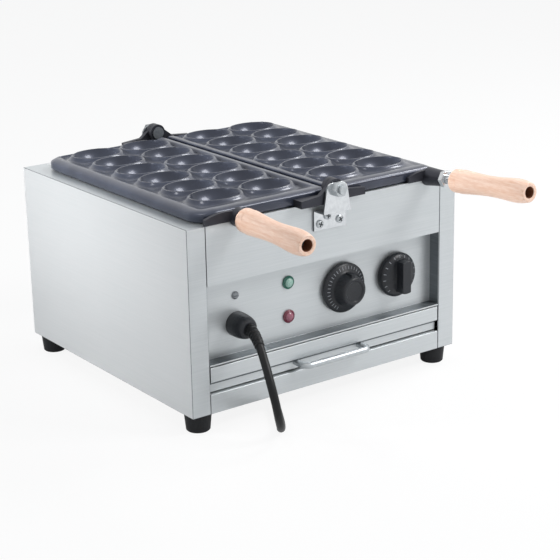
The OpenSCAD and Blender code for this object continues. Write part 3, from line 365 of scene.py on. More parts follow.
PLATE_X0, PLATE_X1 = plate_low[0], plate_high[0]
PLATE_Y0, PLATE_Y1 = plate_low[1] - middle_y / MM, plate_high[1] - middle_y / MM
ARRAY_X0, ARRAY_Y0 = PLATE_X0 + SEAM_BORDER, PLATE_Y0 + FRONT_BORDER
ARRAY_X1, ARRAY_Y1 = ARRAY_X0 + COLUMNS * PITCH_X, ARRAY_Y0 + ROWS * PITCH_Y
EDGE_BOTTOM = (top_z / MM + FOOT_GAP) - rim_z / MM
print("cup, long and short axis in mm:", 2 * RIM)

# %% Heights of a plate


def cell_of(x, y):
    """Column and row of the cup whose cell holds a point, or of the nearest one."""
    column = np.clip(np.floor((x - ARRAY_X0) / PITCH_X), 0, COLUMNS - 1)
    row = np.clip(np.floor((y - ARRAY_Y0) / PITCH_Y), 0, ROWS - 1)
    return column, row


def from_nearest_cup(x, y):
    """Oval radius e and signed distance from the crest of the nearest cup: the offset from the
    cup's middle over the oval's half axes gives e; the distance is its length times 1 - 1 / e."""
    column, row = cell_of(x, y)
    dx = x - ARRAY_X0 - (column + 0.5) * PITCH_X
    dy = y - ARRAY_Y0 - (row + 0.5) * PITCH_Y
    e = np.maximum(np.hypot(dx / RIM[0], dy / RIM[1]), 1e-6)
    return e, np.hypot(dx, dy) * (1 - 1 / e)


def bowl(e, depth, edge):
    """Height in a cup: minus depth times (1 - (e / edge)^2.6)^0.62, and 0 beyond the edge."""
    return -depth * np.clip(1 - (e / edge) ** BOWL_POWER, 0, 1) ** BOWL_ROOT


def border_share(x, y):
    """0 within the array of cups, rising along a smooth step to 1 in the plate's border."""
    beyond = np.max([(ARRAY_X0 - x) / SEAM_RISE, (x - ARRAY_X1) / OUTER_RISE,
                     (ARRAY_Y0 - y) / FRONT_RISE, (y - ARRAY_Y1) / BACK_RISE], axis=0)
    step = np.clip(beyond, 0, 1)
    return step * step * (3 - 2 * step)


def plate_top(x, y, outer_fall):
    """Height above the rims: the bowl inside a cup; outside it the web, minus F (1 - exp(-d / L)),
    which passes over to the level of the border. The outer and back borders slope down."""
    e, d = from_nearest_cup(x, y)
    near = np.exp(-np.maximum(d - CREST_FLAT, 0) / FALL_LENGTH)
    web = -WEB_FALL * (1 - near)
    edge = border_share(x, y)
    slope = outer_fall * np.clip((x - ARRAY_X1) / (PLATE_X1 - ARRAY_X1), 0, 1)
    slope = np.maximum(slope, BACK_FALL * np.clip((y - ARRAY_Y1) / (PLATE_Y1 - ARRAY_Y1), 0, 1))
    outside = web * (1 - edge) - BORDER_FALL * (1 - near) * edge - slope
    return np.where(e < 1, bowl(e, CUP_DEPTH, BOWL_EDGE), outside)


def plate_under(x, y):
    """Height of the underside: the flat web, or the outside of a bowl where that hangs lower."""
    e = from_nearest_cup(x, y)[0]
    return np.minimum(bowl(e, CUP_DEPTH + CUP_WALL, 1), EDGE_BOTTOM)


# %% [markdown]
# A plain grid would cut the rims into steps. So each cup's square of the grid is carried to rings:
# the square [-1, 1] x [-1, 1] becomes a disc by (s sqrt(1 - t^2 / 2), t sqrt(1 - s^2 / 2)), and the
# ring at 0.81 is the crest. The plate's two outer corners are rounded by the same rule.

# %% Grid lines that follow the rims
CREST, TINY = 0.81, 1e-9
HALF_LINES = np.array([0, 0.14, 0.28, 0.41, 0.52, 0.61, 0.68, 0.73, 0.765, 0.79,
                       CREST, 0.83, 0.855, 0.9, 1])
CELL_LINES = (np.concatenate([-HALF_LINES[:0:-1], HALF_LINES])[:-1] + 1) / 2
EDGE_LINES = np.array([0, 0.015, 0.05, 0.1, 0.17, 0.25, 0.35, 0.5, 0.7, 0.85])


def square_to_disc(s, t):
    """The square from -1 to 1 carried to the disc of radius 1; its sides become the circle."""
    return np.stack([s * np.sqrt(1 - t**2 / 2), t * np.sqrt(1 - s**2 / 2)])


def grid_lines(low, high, array_low, pitch, cells):
    """Places of all lines across a plate: close ones at the rounded edges, and each cup's lines."""
    lattice = array_low + pitch * np.append((np.arange(cells)[:, None] + CELL_LINES).ravel(), cells)
    far_border = (high - EDGE_LINES * (high - lattice[-1]))[::-1]
    return np.concatenate([low + EDGE_LINES * (array_low - low), lattice, far_border])


def follow_rims(x, y):
    """Carries grid points within the array to rings round their cups: up to the crest the ring is an
    oval, and from there it passes over to the straight sides of the cup's cell."""
    inside = (x >= ARRAY_X0) & (x <= ARRAY_X1) & (y >= ARRAY_Y0) & (y <= ARRAY_Y1)
    column, row = cell_of(x, y)
    s = 2 * ((x - ARRAY_X0) / PITCH_X - column) - 1
    t = 2 * ((y - ARRAY_Y0) / PITCH_Y - row) - 1
    ring = np.maximum(np.maximum(abs(s), abs(t)), TINY)
    oval = square_to_disc(s / ring, t / ring) * RIM[:, None, None]
    cell = np.stack([s / ring * PITCH_X / 2, t / ring * PITCH_Y / 2])
    outward = np.clip((ring - CREST) / (1 - CREST), 0, 1)
    place = oval * np.minimum(ring / CREST, 1) * (1 - outward) + cell * outward
    middle = ARRAY_X0 + (column + 0.5) * PITCH_X, ARRAY_Y0 + (row + 0.5) * PITCH_Y
    return np.where(inside, middle[0] + place[0], x), np.where(inside, middle[1] + place[1], y)


def round_corners(x, y):
    """Carries the squares at the plate's two outer corners to quarter discs."""
    back = y > (PLATE_Y0 + PLATE_Y1) / 2
    centre_x = PLATE_X1 - CORNER_R
    centre_y = np.where(back, PLATE_Y1 - CORNER_R, PLATE_Y0 + CORNER_R)
    way = np.where(back, 1, -1)
    u, v = (x - centre_x) / CORNER_R, way * (y - centre_y) / CORNER_R
    ring = np.maximum(np.maximum(u, v), TINY)
    disc = square_to_disc(np.clip(u / ring, 0, 1), np.clip(v / ring, 0, 1)) * ring * CORNER_R
    corner = (u > 0) & (v > 0)
    return np.where(corner, centre_x + disc[0], x), np.where(corner, centre_y + way * disc[1], y)


plate_x, plate_y = np.meshgrid(grid_lines(PLATE_X0, PLATE_X1, ARRAY_X0, PITCH_X, COLUMNS),
                               grid_lines(PLATE_Y0, PLATE_Y1, ARRAY_Y0, PITCH_Y, ROWS))
print("grid of a plate:", plate_x.shape)

# %% [markdown]
# The two grids of heights are joined by a wall along the plate's outline. Its upper edge is rolled
# over, as on a casting, and its foot is undercut, which gives the dark line on the cabinet. The
# left plate is the right one seen in a mirror, so its faces are turned round.

# %% The two plates


def edge_roll(inset, wide, high):
    """Fall of a rounded edge: a quarter ellipse, from 0 at the inset wide to high at the edge."""
    return high * (1 - np.sqrt(1 - np.clip(1 - inset / wide, 0, 1) ** 2))


def plate_grids(outer_fall):
    """Top and under grid of a plate as arrays of points; the under grid is drawn in at its foot."""
    x, y = plate_x, plate_y
    inset = np.min([PLATE_X1 - x, y - PLATE_Y0, PLATE_Y1 - y], axis=0)
    lip = np.maximum(edge_roll(inset, EDGE_WIDE, EDGE_HIGH),
                     edge_roll(x - PLATE_X0, SEAM_EDGE, SEAM_EDGE))
    x, y = follow_rims(x, y)
    high, low = plate_top(x, y, outer_fall) - lip, plate_under(x, y)
    x, y = round_corners(x, y)
    half = np.array([(PLATE_X1 - PLATE_X0) / 2, (PLATE_Y1 - PLATE_Y0) / 2])
    middle = np.array([(PLATE_X0 + PLATE_X1) / 2, (PLATE_Y0 + PLATE_Y1) / 2])
    drawn_in = 1 - UNDERCUT / half
    under = [middle[0] + (x - middle[0]) * drawn_in[0], middle[1] + (y - middle[1]) * drawn_in[1]]
    return np.stack([x, y, high], -1).reshape(-1, 3), np.stack([*under, low], -1).reshape(-1, 3)


def mould_plate(side, name):
    """One plate: top and under grids with three strips between their borders, which are the edge's
    roll, the wall and the undercut at its foot. Side is 1 for the right plate, -1 for the left."""
    top, under = plate_grids(OUTER_FALL[name])
    rows, columns = plate_x.shape
    count = rows * columns
    faces = grid_quads(rows, columns)
    number = np.arange(count).reshape(rows, columns)
    border = np.concatenate([number[0, :-1], number[:-1, -1], number[-1, :0:-1], number[:0:-1, 0]])
    wall_top = top[border] - [0, 0, WALL_ROLL]
    wall_foot = top[border] * [1, 1, 0] + [0, 0, EDGE_BOTTOM + UNDERCUT]
    upper, lower = (2 * count + k * len(border) + np.arange(len(border)) for k in (0, 1))
    levels = [border, upper, lower, border + count]
    walls = [np.stack([a, b, np.roll(b, -1), np.roll(a, -1)], 1)
             for a, b in zip(levels, levels[1:])]
    quads = np.vstack([faces, faces[:, ::-1] + count, *walls])
    points = np.vstack([top, under, wall_top, wall_foot])
    points = points * [side, 1, 1] + [0, middle_y / MM, rim_z / MM]
    if side < 0:
        quads = quads[:, ::-1]
    return make_piece(f"{name}_plate_casting", points * MM, quads, f"{name}_plate",
                      (f"{name}_mould_plate",), sharp_degrees=75)


left_casting = mould_plate(-1, "left")
right_casting = mould_plate(1, "right")
print("plate faces:", len(left_casting.data.polygons), len(right_casting.data.polygons))

# %% [markdown]
# ## Turned grips
# The grips are turned beech: full near both ends, drawn in at the waist, with a thinner collar and a
# groove near the root and a bored free end. A lathe makes a profile of radius along an axis, so that
# profile is carried once round the handle's axis. A Screw modifier would do the same, but the
# handles stand at an angle and their place has to be in the mesh.

# %% Profile of a grip
GRIP_LENGTH, GRIP_R, GRIP_END_R, WAIST, END_FROM = 97.0, 12.0, 9.5, 2.2, 0.72
GROOVE_AT, GROOVE_DEEP, GROOVE_WIDE, COLLAR_STEP, COLLAR_SOFT = 0.1, 0.9, 0.009, 0.5, 0.004
ROOT_ROUND, ROOT_REACH, ROOT_FACE = 1.6, 0.008, 2.4
BORE_R, BORE_DEPTH, BORE_CHAMFER, LIP_R, AXIS_R = 5.6, 15.0, 0.6, 1.2, 0.01
GRIP_SIDES, SKIN_SAMPLES, LIP_SAMPLES = 72, 150, 6
BORE_FACES = 2 * GRIP_SIDES  # wall and floor of the bore, the last two rows of the profile


def grip_radius(t):
    """Radius along a grip: the full radius less a waist that follows the square of a sine, a rounded
    free end, and a thinner collar at the root that ends at a groove."""
    end = (GRIP_R - GRIP_END_R) * np.maximum(0, (t - END_FROM) / (1 - END_FROM)) ** 3
    groove = GROOVE_DEEP * np.exp(-(((t - GROOVE_AT) / GROOVE_WIDE) ** 2))
    collar = COLLAR_STEP / (1 + np.exp((t - GROOVE_AT) / COLLAR_SOFT))
    round_root = ROOT_ROUND * np.exp(-t / ROOT_REACH)
    return GRIP_R - WAIST * np.sin(np.pi * t) ** 2 - end - (groove + collar) - round_root


def grip_profile():
    """Places along the axis and radii: root face, skin, rounded mouth, and the bore."""
    t = np.linspace(0, 1, SKIN_SAMPLES)
    mouth = np.radians(np.linspace(0, 90, LIP_SAMPLES))[1:]
    skin_end, bore_end = GRIP_LENGTH - LIP_R, GRIP_LENGTH - BORE_DEPTH
    along = np.concatenate([[0, 0], t * skin_end, skin_end + LIP_R * np.sin(mouth),
                            [GRIP_LENGTH, GRIP_LENGTH - BORE_CHAMFER, bore_end, bore_end]])
    end_r = grip_radius(np.array([1.0]))[0]
    radius = np.concatenate([[AXIS_R, GRIP_R - ROOT_FACE], grip_radius(t),
                             end_r - LIP_R * (1 - np.cos(mouth)),
                             [BORE_R + BORE_CHAMFER, BORE_R, BORE_R, AXIS_R]])
    return along, radius


print("radius of a grip's waist in mm:", round(float(grip_radius(0.5)), 2))

# %% Handle axes and grips
# For each handle: x of its root, splay and tilt in degrees, and the grip's start along the axis.
HANDLES = {"left": (-105, -2, -0.8, 14.5), "right": (124, 2, 4, 40)}
ROOT_BELOW_RIMS = 10.5


def handle_frame(side):
    """Start of a grip on the handle's axis, the axis, and two directions square to it."""
    x, splay, tilt, start = HANDLES[side]
    s, t = math.radians(splay), math.radians(tilt)
    axis = np.array([math.sin(s) * math.cos(t), -math.cos(s) * math.cos(t), math.sin(t)])
    across = np.cross(axis, [0, 0, 1])
    across /= np.linalg.norm(across)
    root = np.array([x, PLATE_Y0, rim_z / MM - ROOT_BELOW_RIMS])
    return root + start * axis, axis, across, np.cross(across, axis)


def turned_grip(side):
    """The grip's profile carried once round the handle's axis."""
    root, axis, across, upward = handle_frame(side)
    along, radius = grip_profile()
    turn = np.linspace(0, 2 * np.pi, GRIP_SIDES, endpoint=False)
    ring = np.cos(turn)[:, None] * across + np.sin(turn)[:, None] * upward
    points = root + along[:, None, None] * axis + radius[:, None, None] * ring[None]
    points[..., 1] += middle_y / MM
    quads = grid_quads(len(along), GRIP_SIDES, close_columns=True)[:, ::-1]
    return make_piece(f"{side}_turned_grip", points.reshape(-1, 3) * MM, quads, f"{side}_plate",
                      (f"{side}_grip",))


grips = {side: turned_grip(side) for side in HANDLES}
print("grips:", list(grips))

# %% [markdown]
# ## Screws
# The hinge brackets' screws have domed heads with a cross recess. A boolean could cut the cross;
# on so small a head it is simpler to give a height for every point of a disc: a dome, less a recess
# along two arms. The faces in the recess are noted, because they get a dark steel as painted shade.

# %% Cross-head screws
slot_of = {part["node"]: part["material_slot"] for part in frame["record"]["subparts"]}
HEAD_R, HEAD_H, HEAD_LINES, DOME_FALL, HEAD_EDGE = 4.0, 2.4, 41, 0.5, 0.999
CROSS_HALF, CROSS_REACH, CROSS_DEPTH, CROSS_SOFT = 0.5, 2.4, 1.2, 0.2
FIRST_TURN, NEXT_TURN = 0.4, 0.7
SCREW_SPOTS = np.array([[-12.5, 6.5], [11, 7.5], [-3.5, 13.2]])


def within(distance, reach):
    """1 where a distance is less than the reach and 0 beyond it, with a short slope between."""
    return np.clip((reach - distance) / CROSS_SOFT + 0.5, 0, 1)


def screw_head(x, y, z, outward, turn):
    """Points of a domed head on a square grid, and how far each lies in the recess, from 0 to 1;
    outward is -1 for a head that faces the front. The dome is H (1 - r^3 / 2)."""
    line = np.linspace(-1, 1, HEAD_LINES)
    s, t = np.meshgrid(line, line)
    ring = np.maximum(np.maximum(abs(s), abs(t)), TINY)
    u, v = square_to_disc(s / ring, t / ring) * ring * HEAD_R
    across = abs(u * math.cos(turn) - v * math.sin(turn))
    up = abs(u * math.sin(turn) + v * math.cos(turn))
    recess = (within(np.minimum(across, up), CROSS_HALF)
              * within(np.maximum(across, up), CROSS_REACH))
    dome = np.where(ring > HEAD_EDGE, 0, HEAD_H * (1 - DOME_FALL * ring**3))
    high = dome - CROSS_DEPTH * recess
    return np.stack([x + u, y + outward * high, z + v], -1).reshape(-1, 3), recess.ravel()


bracket_low = box_mm("front_hinge_bracket")[0]
screw_low, screw_high = box_mm("bracket_screws")
head_points, head_quads, head_recesses = [], [], []
for number, (x, up) in enumerate(SCREW_SPOTS):
    for outward, face in ((-1, screw_low[1] + HEAD_H), (1, screw_high[1] - HEAD_H)):
        quads = grid_quads(HEAD_LINES, HEAD_LINES)
        points, recess = screw_head(x, face, bracket_low[2] + up, outward,
                                    FIRST_TURN + NEXT_TURN * number)
        facing_out = quads if outward < 0 else quads[:, ::-1]
        head_quads.append(facing_out + len(points) * len(head_points))
        head_points.append(points)
        head_recesses.append(recess[quads].max(axis=1) > 0.5)
screw_heads = make_piece("bracket_screw_heads", np.vstack(head_points) * MM, np.vstack(head_quads),
                         "cabinet", ("bracket_screws",))
print("screw heads:", len(head_points))

# %% [markdown]
# ## Dial marks
# The two dials carry short pale strokes, printed on the sloping faces of the knobs. An image would
# blur close up, so each stroke is a flat box that leans with the face and stands a tenth of a
# millimetre proud of it.

# %% Strokes on the dials
BOX_QUADS = np.array([[4, 5, 7, 6], [0, 2, 3, 1], [0, 1, 5, 4],
                      [2, 6, 7, 3], [0, 4, 6, 2], [1, 3, 7, 5]])
STROKE_LIFT = np.array([-0.05, 0.1])


def dial_strokes(knob, degrees, slope, wide):
    """Radial strokes at those angles from the top of a knob; slope is the two ends of a stroke, each
    a radius and a height off the panel side."""
    low, high = box_mm(knob)
    middle_x, base_y, middle_z = (low[0] + high[0]) / 2, high[1], (low[2] + high[2]) / 2
    angle = np.radians(degrees)[:, None, None, None]
    lift = STROKE_LIFT[:, None, None]
    side = np.array([-wide / 2, wide / 2])[:, None]
    radius, height = np.array(slope).T
    x = middle_x + (radius * np.sin(angle) + side * np.cos(angle))
    y = base_y - height - lift
    z = middle_z + (radius * np.cos(angle) - side * np.sin(angle))
    points = np.stack(np.broadcast_arrays(x, y, z), -1).reshape(-1, 3)
    quads = (BOX_QUADS + 8 * np.arange(len(degrees))[:, None, None]).reshape(-1, 4)
    return make_piece(f"{knob}_strokes", points * MM, quads, nodes[knob]["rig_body"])


TIMER_SLOPE, THERMOSTAT_SLOPE = ((19.4, 5.93), (22.4, 5.23)), ((18.2, 7.85), (20.6, 6.65))
strokes = [dial_strokes("timer_knob", np.linspace(-150, 150, 31), TIMER_SLOPE, 0.7),
           dial_strokes("thermostat_knob", np.linspace(-135, 135, 15), THERMOSTAT_SLOPE, 0.8)]
print("dial strokes:", [piece.name for piece in strokes])

# %% [markdown]
# ## Materials
# Each finish is one Principled shader with a procedural pattern on Object coordinates, so that it
# needs no image and no unwrapping. One function turns a hex colour to linear light, one adds a node
# with its settings and links, and three lead a pattern into colour, roughness and bump.

# %% Colour and node helpers


def linear(hex_colour):
    """sRGB hex to linear light: a short straight part near black, then a power of 2.4."""
    c = np.array([int(hex_colour[i:i + 2], 16) / 255 for i in (1, 3, 5)])
    return (*np.where(c <= 0.04045, c / 12.92, ((c + 0.055) / 1.055) ** 2.4), 1.0)


def add_node(tree, kind, links=None, values=None, **settings):
    """A node of that kind with its settings, input values and incoming links."""
    node = tree.nodes.new(kind)
    for name, value in settings.items():
        setattr(node, name, value)
    for name, value in (values or {}).items():
        node.inputs[name].default_value = value
    for name, source in (links or {}).items():
        tree.links.new(source, node.inputs[name])
    return node


def new_material(name, **values):
    """A material with one Principled shader whose sockets hold those constants; returns the
    material, its tree, the shader and the Object coordinates."""
    material = bpy.data.materials.new(name)
    material.use_nodes = True
    tree = material.node_tree
    shader = tree.nodes["Principled BSDF"]
    for key, value in values.items():
        shader.inputs[key.replace("_", " ")].default_value = value
    coordinates = add_node(tree, "ShaderNodeTexCoord").outputs["Object"]
    return material, tree, shader, coordinates


# %% Patterns into a shader


def two_colours(tree, shader, source, low, high, span=(0.35, 0.65)):
    """A colour ramp between two hex colours, driven by a pattern, into the shader's base colour."""
    ramp = add_node(tree, "ShaderNodeValToRGB", {"Fac": source})
    dark, light = ramp.color_ramp.elements
    dark.position, light.position = span
    dark.color, light.color = linear(low), linear(high)
    tree.links.new(ramp.outputs["Color"], shader.inputs["Base Color"])


def roughness_from(tree, shader, source, low, high):
    """A pattern from 0 to 1 carried to a range of roughness."""
    spread = add_node(tree, "ShaderNodeMapRange", {"Value": source},
                      {"To Min": low, "To Max": high})
    tree.links.new(spread.outputs["Result"], shader.inputs["Roughness"])


def bump_from(tree, shader, source, distance_mm, strength):
    """A pattern as a height of so many millimetres."""
    bump = add_node(tree, "ShaderNodeBump", {"Height": source},
                    {"Distance": distance_mm * MM, "Strength": strength})
    tree.links.new(bump.outputs["Normal"], shader.inputs["Normal"])


# %% [markdown]
# ### Steels
# The cabinet is stainless sheet with a fine level grain that draws reflections out sideways. The
# grain is noise stretched along X and Y; real scratches are a tenth of a millimetre apart, and are
# drawn about ten times as coarse so that they show. Patches of other grey, about 110 mm across, keep
# the sheet from looking like paint. The side and back sheets get a paler copy of the front's steel,
# which is painted light. Inside the cabinet the steel is plain; it is also laid on the side panels'
# folds as painted shade. A dark, duller copy is painted shade in the control recess, in the screws'
# recesses, on the bracket's edges and under the drawer's fold.

# %% Steels
PATCHES_PER_M, PATCH_SHARE = 9.0, 0.35
LEVEL = (60, 60, 0.9)  # grain of the sheets in mm


def brushed_steel(name, low, high, stretch_mm, rough=(0.32, 0.42), metal=0.6):
    """Steel whose grey and roughness follow stretched noise; stretch_mm is the grain in X, Y, Z."""
    material, tree, shader, where = new_material(name, Metallic=metal, Anisotropic=0.25)
    mapping = add_node(tree, "ShaderNodeMapping", {"Vector": where},
                       {"Scale": [1 / (s * MM) for s in stretch_mm]})
    grain = add_node(tree, "ShaderNodeTexNoise", {"Vector": mapping.outputs["Vector"]},
                     {"Scale": 1.0, "Detail": 3.0})
    cloud = add_node(tree, "ShaderNodeTexNoise", {"Vector": where},
                     {"Scale": PATCHES_PER_M, "Detail": 2.0})
    both = add_node(tree, "ShaderNodeMix", {"A": grain.outputs["Fac"], "B": cloud.outputs["Fac"]},
                    {"Factor": PATCH_SHARE})
    two_colours(tree, shader, both.outputs["Result"], low, high)
    roughness_from(tree, shader, grain.outputs["Fac"], *rough)
    bump_from(tree, shader, grain.outputs["Fac"], 0.02, 0.12)
    return material


front_steel = brushed_steel("brushed stainless sheet, grain across", "#C1C6C8", "#CACED0", LEVEL)
# A paler copy of the front's steel for the side and back sheets: painted light.
paler_lit_steel = brushed_steel("brushed stainless sheet, paler as painted light", "#D0D3D4", "#D5D7D8", LEVEL)
inner_steel = brushed_steel("plain mill-finish steel, also painted fold shade", "#7C8084", "#92969A", (3, 3, 3),
                            (0.35, 0.5), 0.8)
rod_steel = brushed_steel("satin stainless rod", "#AEB3B6", "#BEC3C6", (4, 4, 4), (0.3, 0.4), 0.9)
# A dark, dull copy of the steel is painted shade: it goes where shade falls, in the recess, the
# screws' recesses, the bracket's edges and the drawer's fold.
painted_shade_steel = brushed_steel("dark steel as painted shade", "#5E6468", "#70767A", (2, 40, 2),
                             (0.42, 0.52), 0.5)
bright_steel = brushed_steel("polished stainless steel", "#C2C5C8", "#D2D5D7", (4, 4, 4),
                             (0.12, 0.22), 1.0)
print("sheets:", front_steel.name, "and", paler_lit_steel.name)

# %% [markdown]
# ### Coated castings
# The plates are cast and coated with a dark non-stick finish: nearly black with a blue cast and a
# soft gloss that picks up the bright surroundings. A thin clear coat over a rougher base gives that
# gloss, and an orange-peel bump, drawn coarse so that it shows, breaks the highlights. The hinge
# arms and lugs are bare dark iron with hardly any coat.

# %% Castings
BLOTCHES_PER_M = 40.0  # one blotch of uneven colour in about 25 mm


def coated_casting(name, low, high, rough, peel_mm, coat):
    """Dark coating: a gloss over near-black, with cloudy colour and a fine peel of that size."""
    material, tree, shader, where = new_material(name, Coat_Weight=coat, Coat_Roughness=0.12,
                                                 IOR=1.5, Specular_Tint=linear("#DCE2FA"))
    cloud = add_node(tree, "ShaderNodeTexNoise", {"Vector": where},
                     {"Scale": BLOTCHES_PER_M, "Detail": 4.0})
    peel = add_node(tree, "ShaderNodeTexNoise", {"Vector": where},
                    {"Scale": 1 / (peel_mm * MM), "Detail": 2.0})
    two_colours(tree, shader, cloud.outputs["Fac"], low, high)
    roughness_from(tree, shader, peel.outputs["Fac"], *rough)
    bump_from(tree, shader, peel.outputs["Fac"], 0.05, 0.3)
    return material


plate_coating = coated_casting("non-stick coated casting", "#262A36", "#343946", (0.28, 0.36),
                               1.6, 0.35)
dark_casting = coated_casting("dark cast iron", "#1B1B1E", "#26262A", (0.4, 0.55), 1.2, 0.1)
print("castings:", plate_coating.name, dark_casting.name)

# %% [markdown]
# ### Beech
# Turned beech is pale and pinkish, with fine straight grain along the grip and short darker flecks.
# Both are noise stretched along the handle, which is close to the Y axis: a stripe in about 2.4 mm
# and a fleck in about 1.1 mm, coarser than on real wood so that they show. The bore is unlacquered
# end grain, which looks dark and dull.

# %% Wood
STRIPES_PER_M, FLECKS_PER_M, PORES_PER_M = (420, 22, 420), (900, 130, 900), 900.0
beech, tree, shader, where = new_material("lacquered beech", Coat_Weight=0.2, Coat_Roughness=0.25,
                                          IOR=1.5)
stripe_map = add_node(tree, "ShaderNodeMapping", {"Vector": where}, {"Scale": STRIPES_PER_M})
grain = add_node(tree, "ShaderNodeTexNoise", {"Vector": stripe_map.outputs["Vector"]},
                 {"Scale": 1.0, "Detail": 4.0})
fleck_map = add_node(tree, "ShaderNodeMapping", {"Vector": where}, {"Scale": FLECKS_PER_M})
flecks = add_node(tree, "ShaderNodeTexNoise", {"Vector": fleck_map.outputs["Vector"]},
                  {"Scale": 1.0, "Detail": 2.0})
wood_mix = add_node(tree, "ShaderNodeMix", {"A": grain.outputs["Fac"], "B": flecks.outputs["Fac"]},
                    {"Factor": 0.4})
two_colours(tree, shader, wood_mix.outputs["Result"], "#E6B89B", "#FADECD", (0.3, 0.7))
roughness_from(tree, shader, grain.outputs["Fac"], 0.42, 0.55)
bump_from(tree, shader, grain.outputs["Fac"], 0.03, 0.3)

end_grain, tree, shader, where = new_material("bored end grain of beech", Roughness=0.75)
pores = add_node(tree, "ShaderNodeTexNoise", {"Vector": where},
                 {"Scale": PORES_PER_M, "Detail": 3.0})
two_colours(tree, shader, pores.outputs["Fac"], "#6B4028", "#8A5638", (0.3, 0.7))
print("woods:", beech.name, end_grain.name)

# %% [markdown]
# ### Plastics and rubber
# Knobs and gland are moulded black plastic with a satin skin, feet and plug are duller rubber, the
# lead is a little smoother, and the lamps are tinted acrylic. Colour and roughness tell them apart,
# so one function serves them all. A moulded skin's grit is about a tenth of a millimetre, and is
# drawn at about 1 mm so that it shows.

# %% Plastics and rubber


def moulded(name, low, high, rough, grit_mm, **values):
    """Moulded plastic or rubber: a slightly uneven colour and a fine moulded grit."""
    material, tree, shader, where = new_material(name, **values)
    grit = add_node(tree, "ShaderNodeTexNoise", {"Vector": where},
                    {"Scale": 1 / (grit_mm * MM), "Detail": 3.0})
    two_colours(tree, shader, grit.outputs["Fac"], low, high)
    roughness_from(tree, shader, grit.outputs["Fac"], *rough)
    bump_from(tree, shader, grit.outputs["Fac"], 0.02, 0.4)
    return material


black_plastic = moulded("moulded black phenolic", "#1D1F23", "#2A2D32", (0.3, 0.42), 0.8,
                        IOR=1.55, Specular_IOR_Level=0.3)
rubber = moulded("moulded rubber", "#141517", "#1D1E21", (0.5, 0.62), 1.0, Specular_IOR_Level=0.25)
cable_rubber = moulded("extruded cable rubber", "#0D0E10", "#151618", (0.34, 0.46), 1.5,
                       Specular_IOR_Level=0.25)
white_plastic = moulded("moulded nylon", "#CFCBBD", "#DEDACD", (0.4, 0.5), 1.0)
dial_print = moulded("pale dial print", "#7E8288", "#969A9F", (0.5, 0.6), 0.6)
green_ring = moulded("green moulded acrylic", "#2A5F50", "#3A7263", (0.2, 0.3), 1.0)
green_lens = moulded("pale green lens", "#83AEA0", "#A6C6BB", (0.12, 0.2), 1.0)
red_ring = moulded("red moulded acrylic", "#6C2F3E", "#7D3D4C", (0.2, 0.3), 1.0)
red_lens = moulded("dull red lens", "#8F5362", "#A2687A", (0.12, 0.2), 1.0)
print("materials with the CAD nodes' own:", len(bpy.data.materials))

# %% [markdown]
# ### Dressing every node
# Each CAD node that still shows gets the material of its finish in the record, and so does each new
# piece. The outer sheets are paler than the front, as painted light, and small bright fittings are
# satin.

# %% Materials to pieces
FINISHES = {
    "stainless_sheet": front_steel, "inner_steel": inner_steel, "bright_steel": bright_steel,
    "cast_plate": plate_coating, "cast_hinge": dark_casting, "beech": beech,
    "black_plastic": black_plastic, "white_plastic": white_plastic, "black_rubber": rubber,
    "plug_plastic": rubber, "green_bezel": green_ring, "green_lens": green_lens,
    "red_bezel": red_ring, "red_lens": red_lens}


def dress(piece, material):
    """The piece shows that material only."""
    piece.data.materials.clear()
    piece.data.materials.append(material)


for name, node in nodes.items():
    dress(node, FINISHES[slot_of[name]])
for name, piece in soft.items():
    dress(piece, FINISHES[slot_of[name]])
SATIN = [screw_heads, nodes["drawer_handle"], nodes["front_hinge_bolt"], soft["front_hinge_nut"]]
# Sheets that take the paler steel of painted light.
PALER = [soft[name] for name in ("left_side_panel", "right_side_panel", "back_panel")]
for material, pieces in ((paler_lit_steel, PALER), (plate_coating, (left_casting, right_casting)),
                         (beech, grips.values()), (cable_rubber, (cord, sleeve)),
                         (rod_steel, SATIN), (dial_print, strokes)):
    for piece in pieces:
        dress(piece, material)
print("dressed nodes and copies:", len(nodes), len(soft))

# %% [markdown]
# ### Faces with a finish of their own
# Some pieces show two materials. The cheeks and the ledge of the control recess, the hinge bracket's
# edges and the screws' recesses take a dark steel as painted shade. The side panels' flanges and
# tops keep the front's steel, while their sides are paler as painted light, and the bevels of their
# folds take painted shade. The plug's pins are bright. The meshes could be split, but a second
# material on faces that are chosen by their direction and place keeps each piece whole.

# %% Second finishes
FACING, EDGE_FACING = 0.9, 0.7  # least share of a normal along an axis
LEDGE_HIGH, PIN_LENGTH = 3 * MM, 18.8 * MM


def dress_faces(piece, material, chosen):
    """The chosen faces of a piece show a second material."""
    piece.data.materials.append(material)
    piece.data.polygons.foreach_set("material_index", np.array(chosen, dtype=np.int32))


def rows_of(items, attribute):
    """An attribute of all vertices or faces of a mesh, such as co or normal, one row for each."""
    values = np.empty(3 * len(items), dtype=np.float32)
    items.foreach_get(attribute, values)
    return values.reshape(-1, 3).astype(float)


for piece in grips.values():
    face_count = len(piece.data.polygons)
    dress_faces(piece, end_grain, np.arange(face_count) >= face_count - BORE_FACES)
# Painted shade in the screws' cross recesses.
dress_faces(screw_heads, painted_shade_steel, np.concatenate(head_recesses))

panel = soft["control_panel"]
normals, middles = (rows_of(panel.data.polygons, what) for what in ("normal", "center"))
on_ledge = middles[:, 2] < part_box("control_panel")[0][2] + LEDGE_HIGH
# Painted shade: the recess's cheeks and the top of its ledge take the dark steel.
dress_faces(panel, painted_shade_steel,
            (abs(normals[:, 0]) > FACING) | ((normals[:, 2] > FACING) & on_ledge))

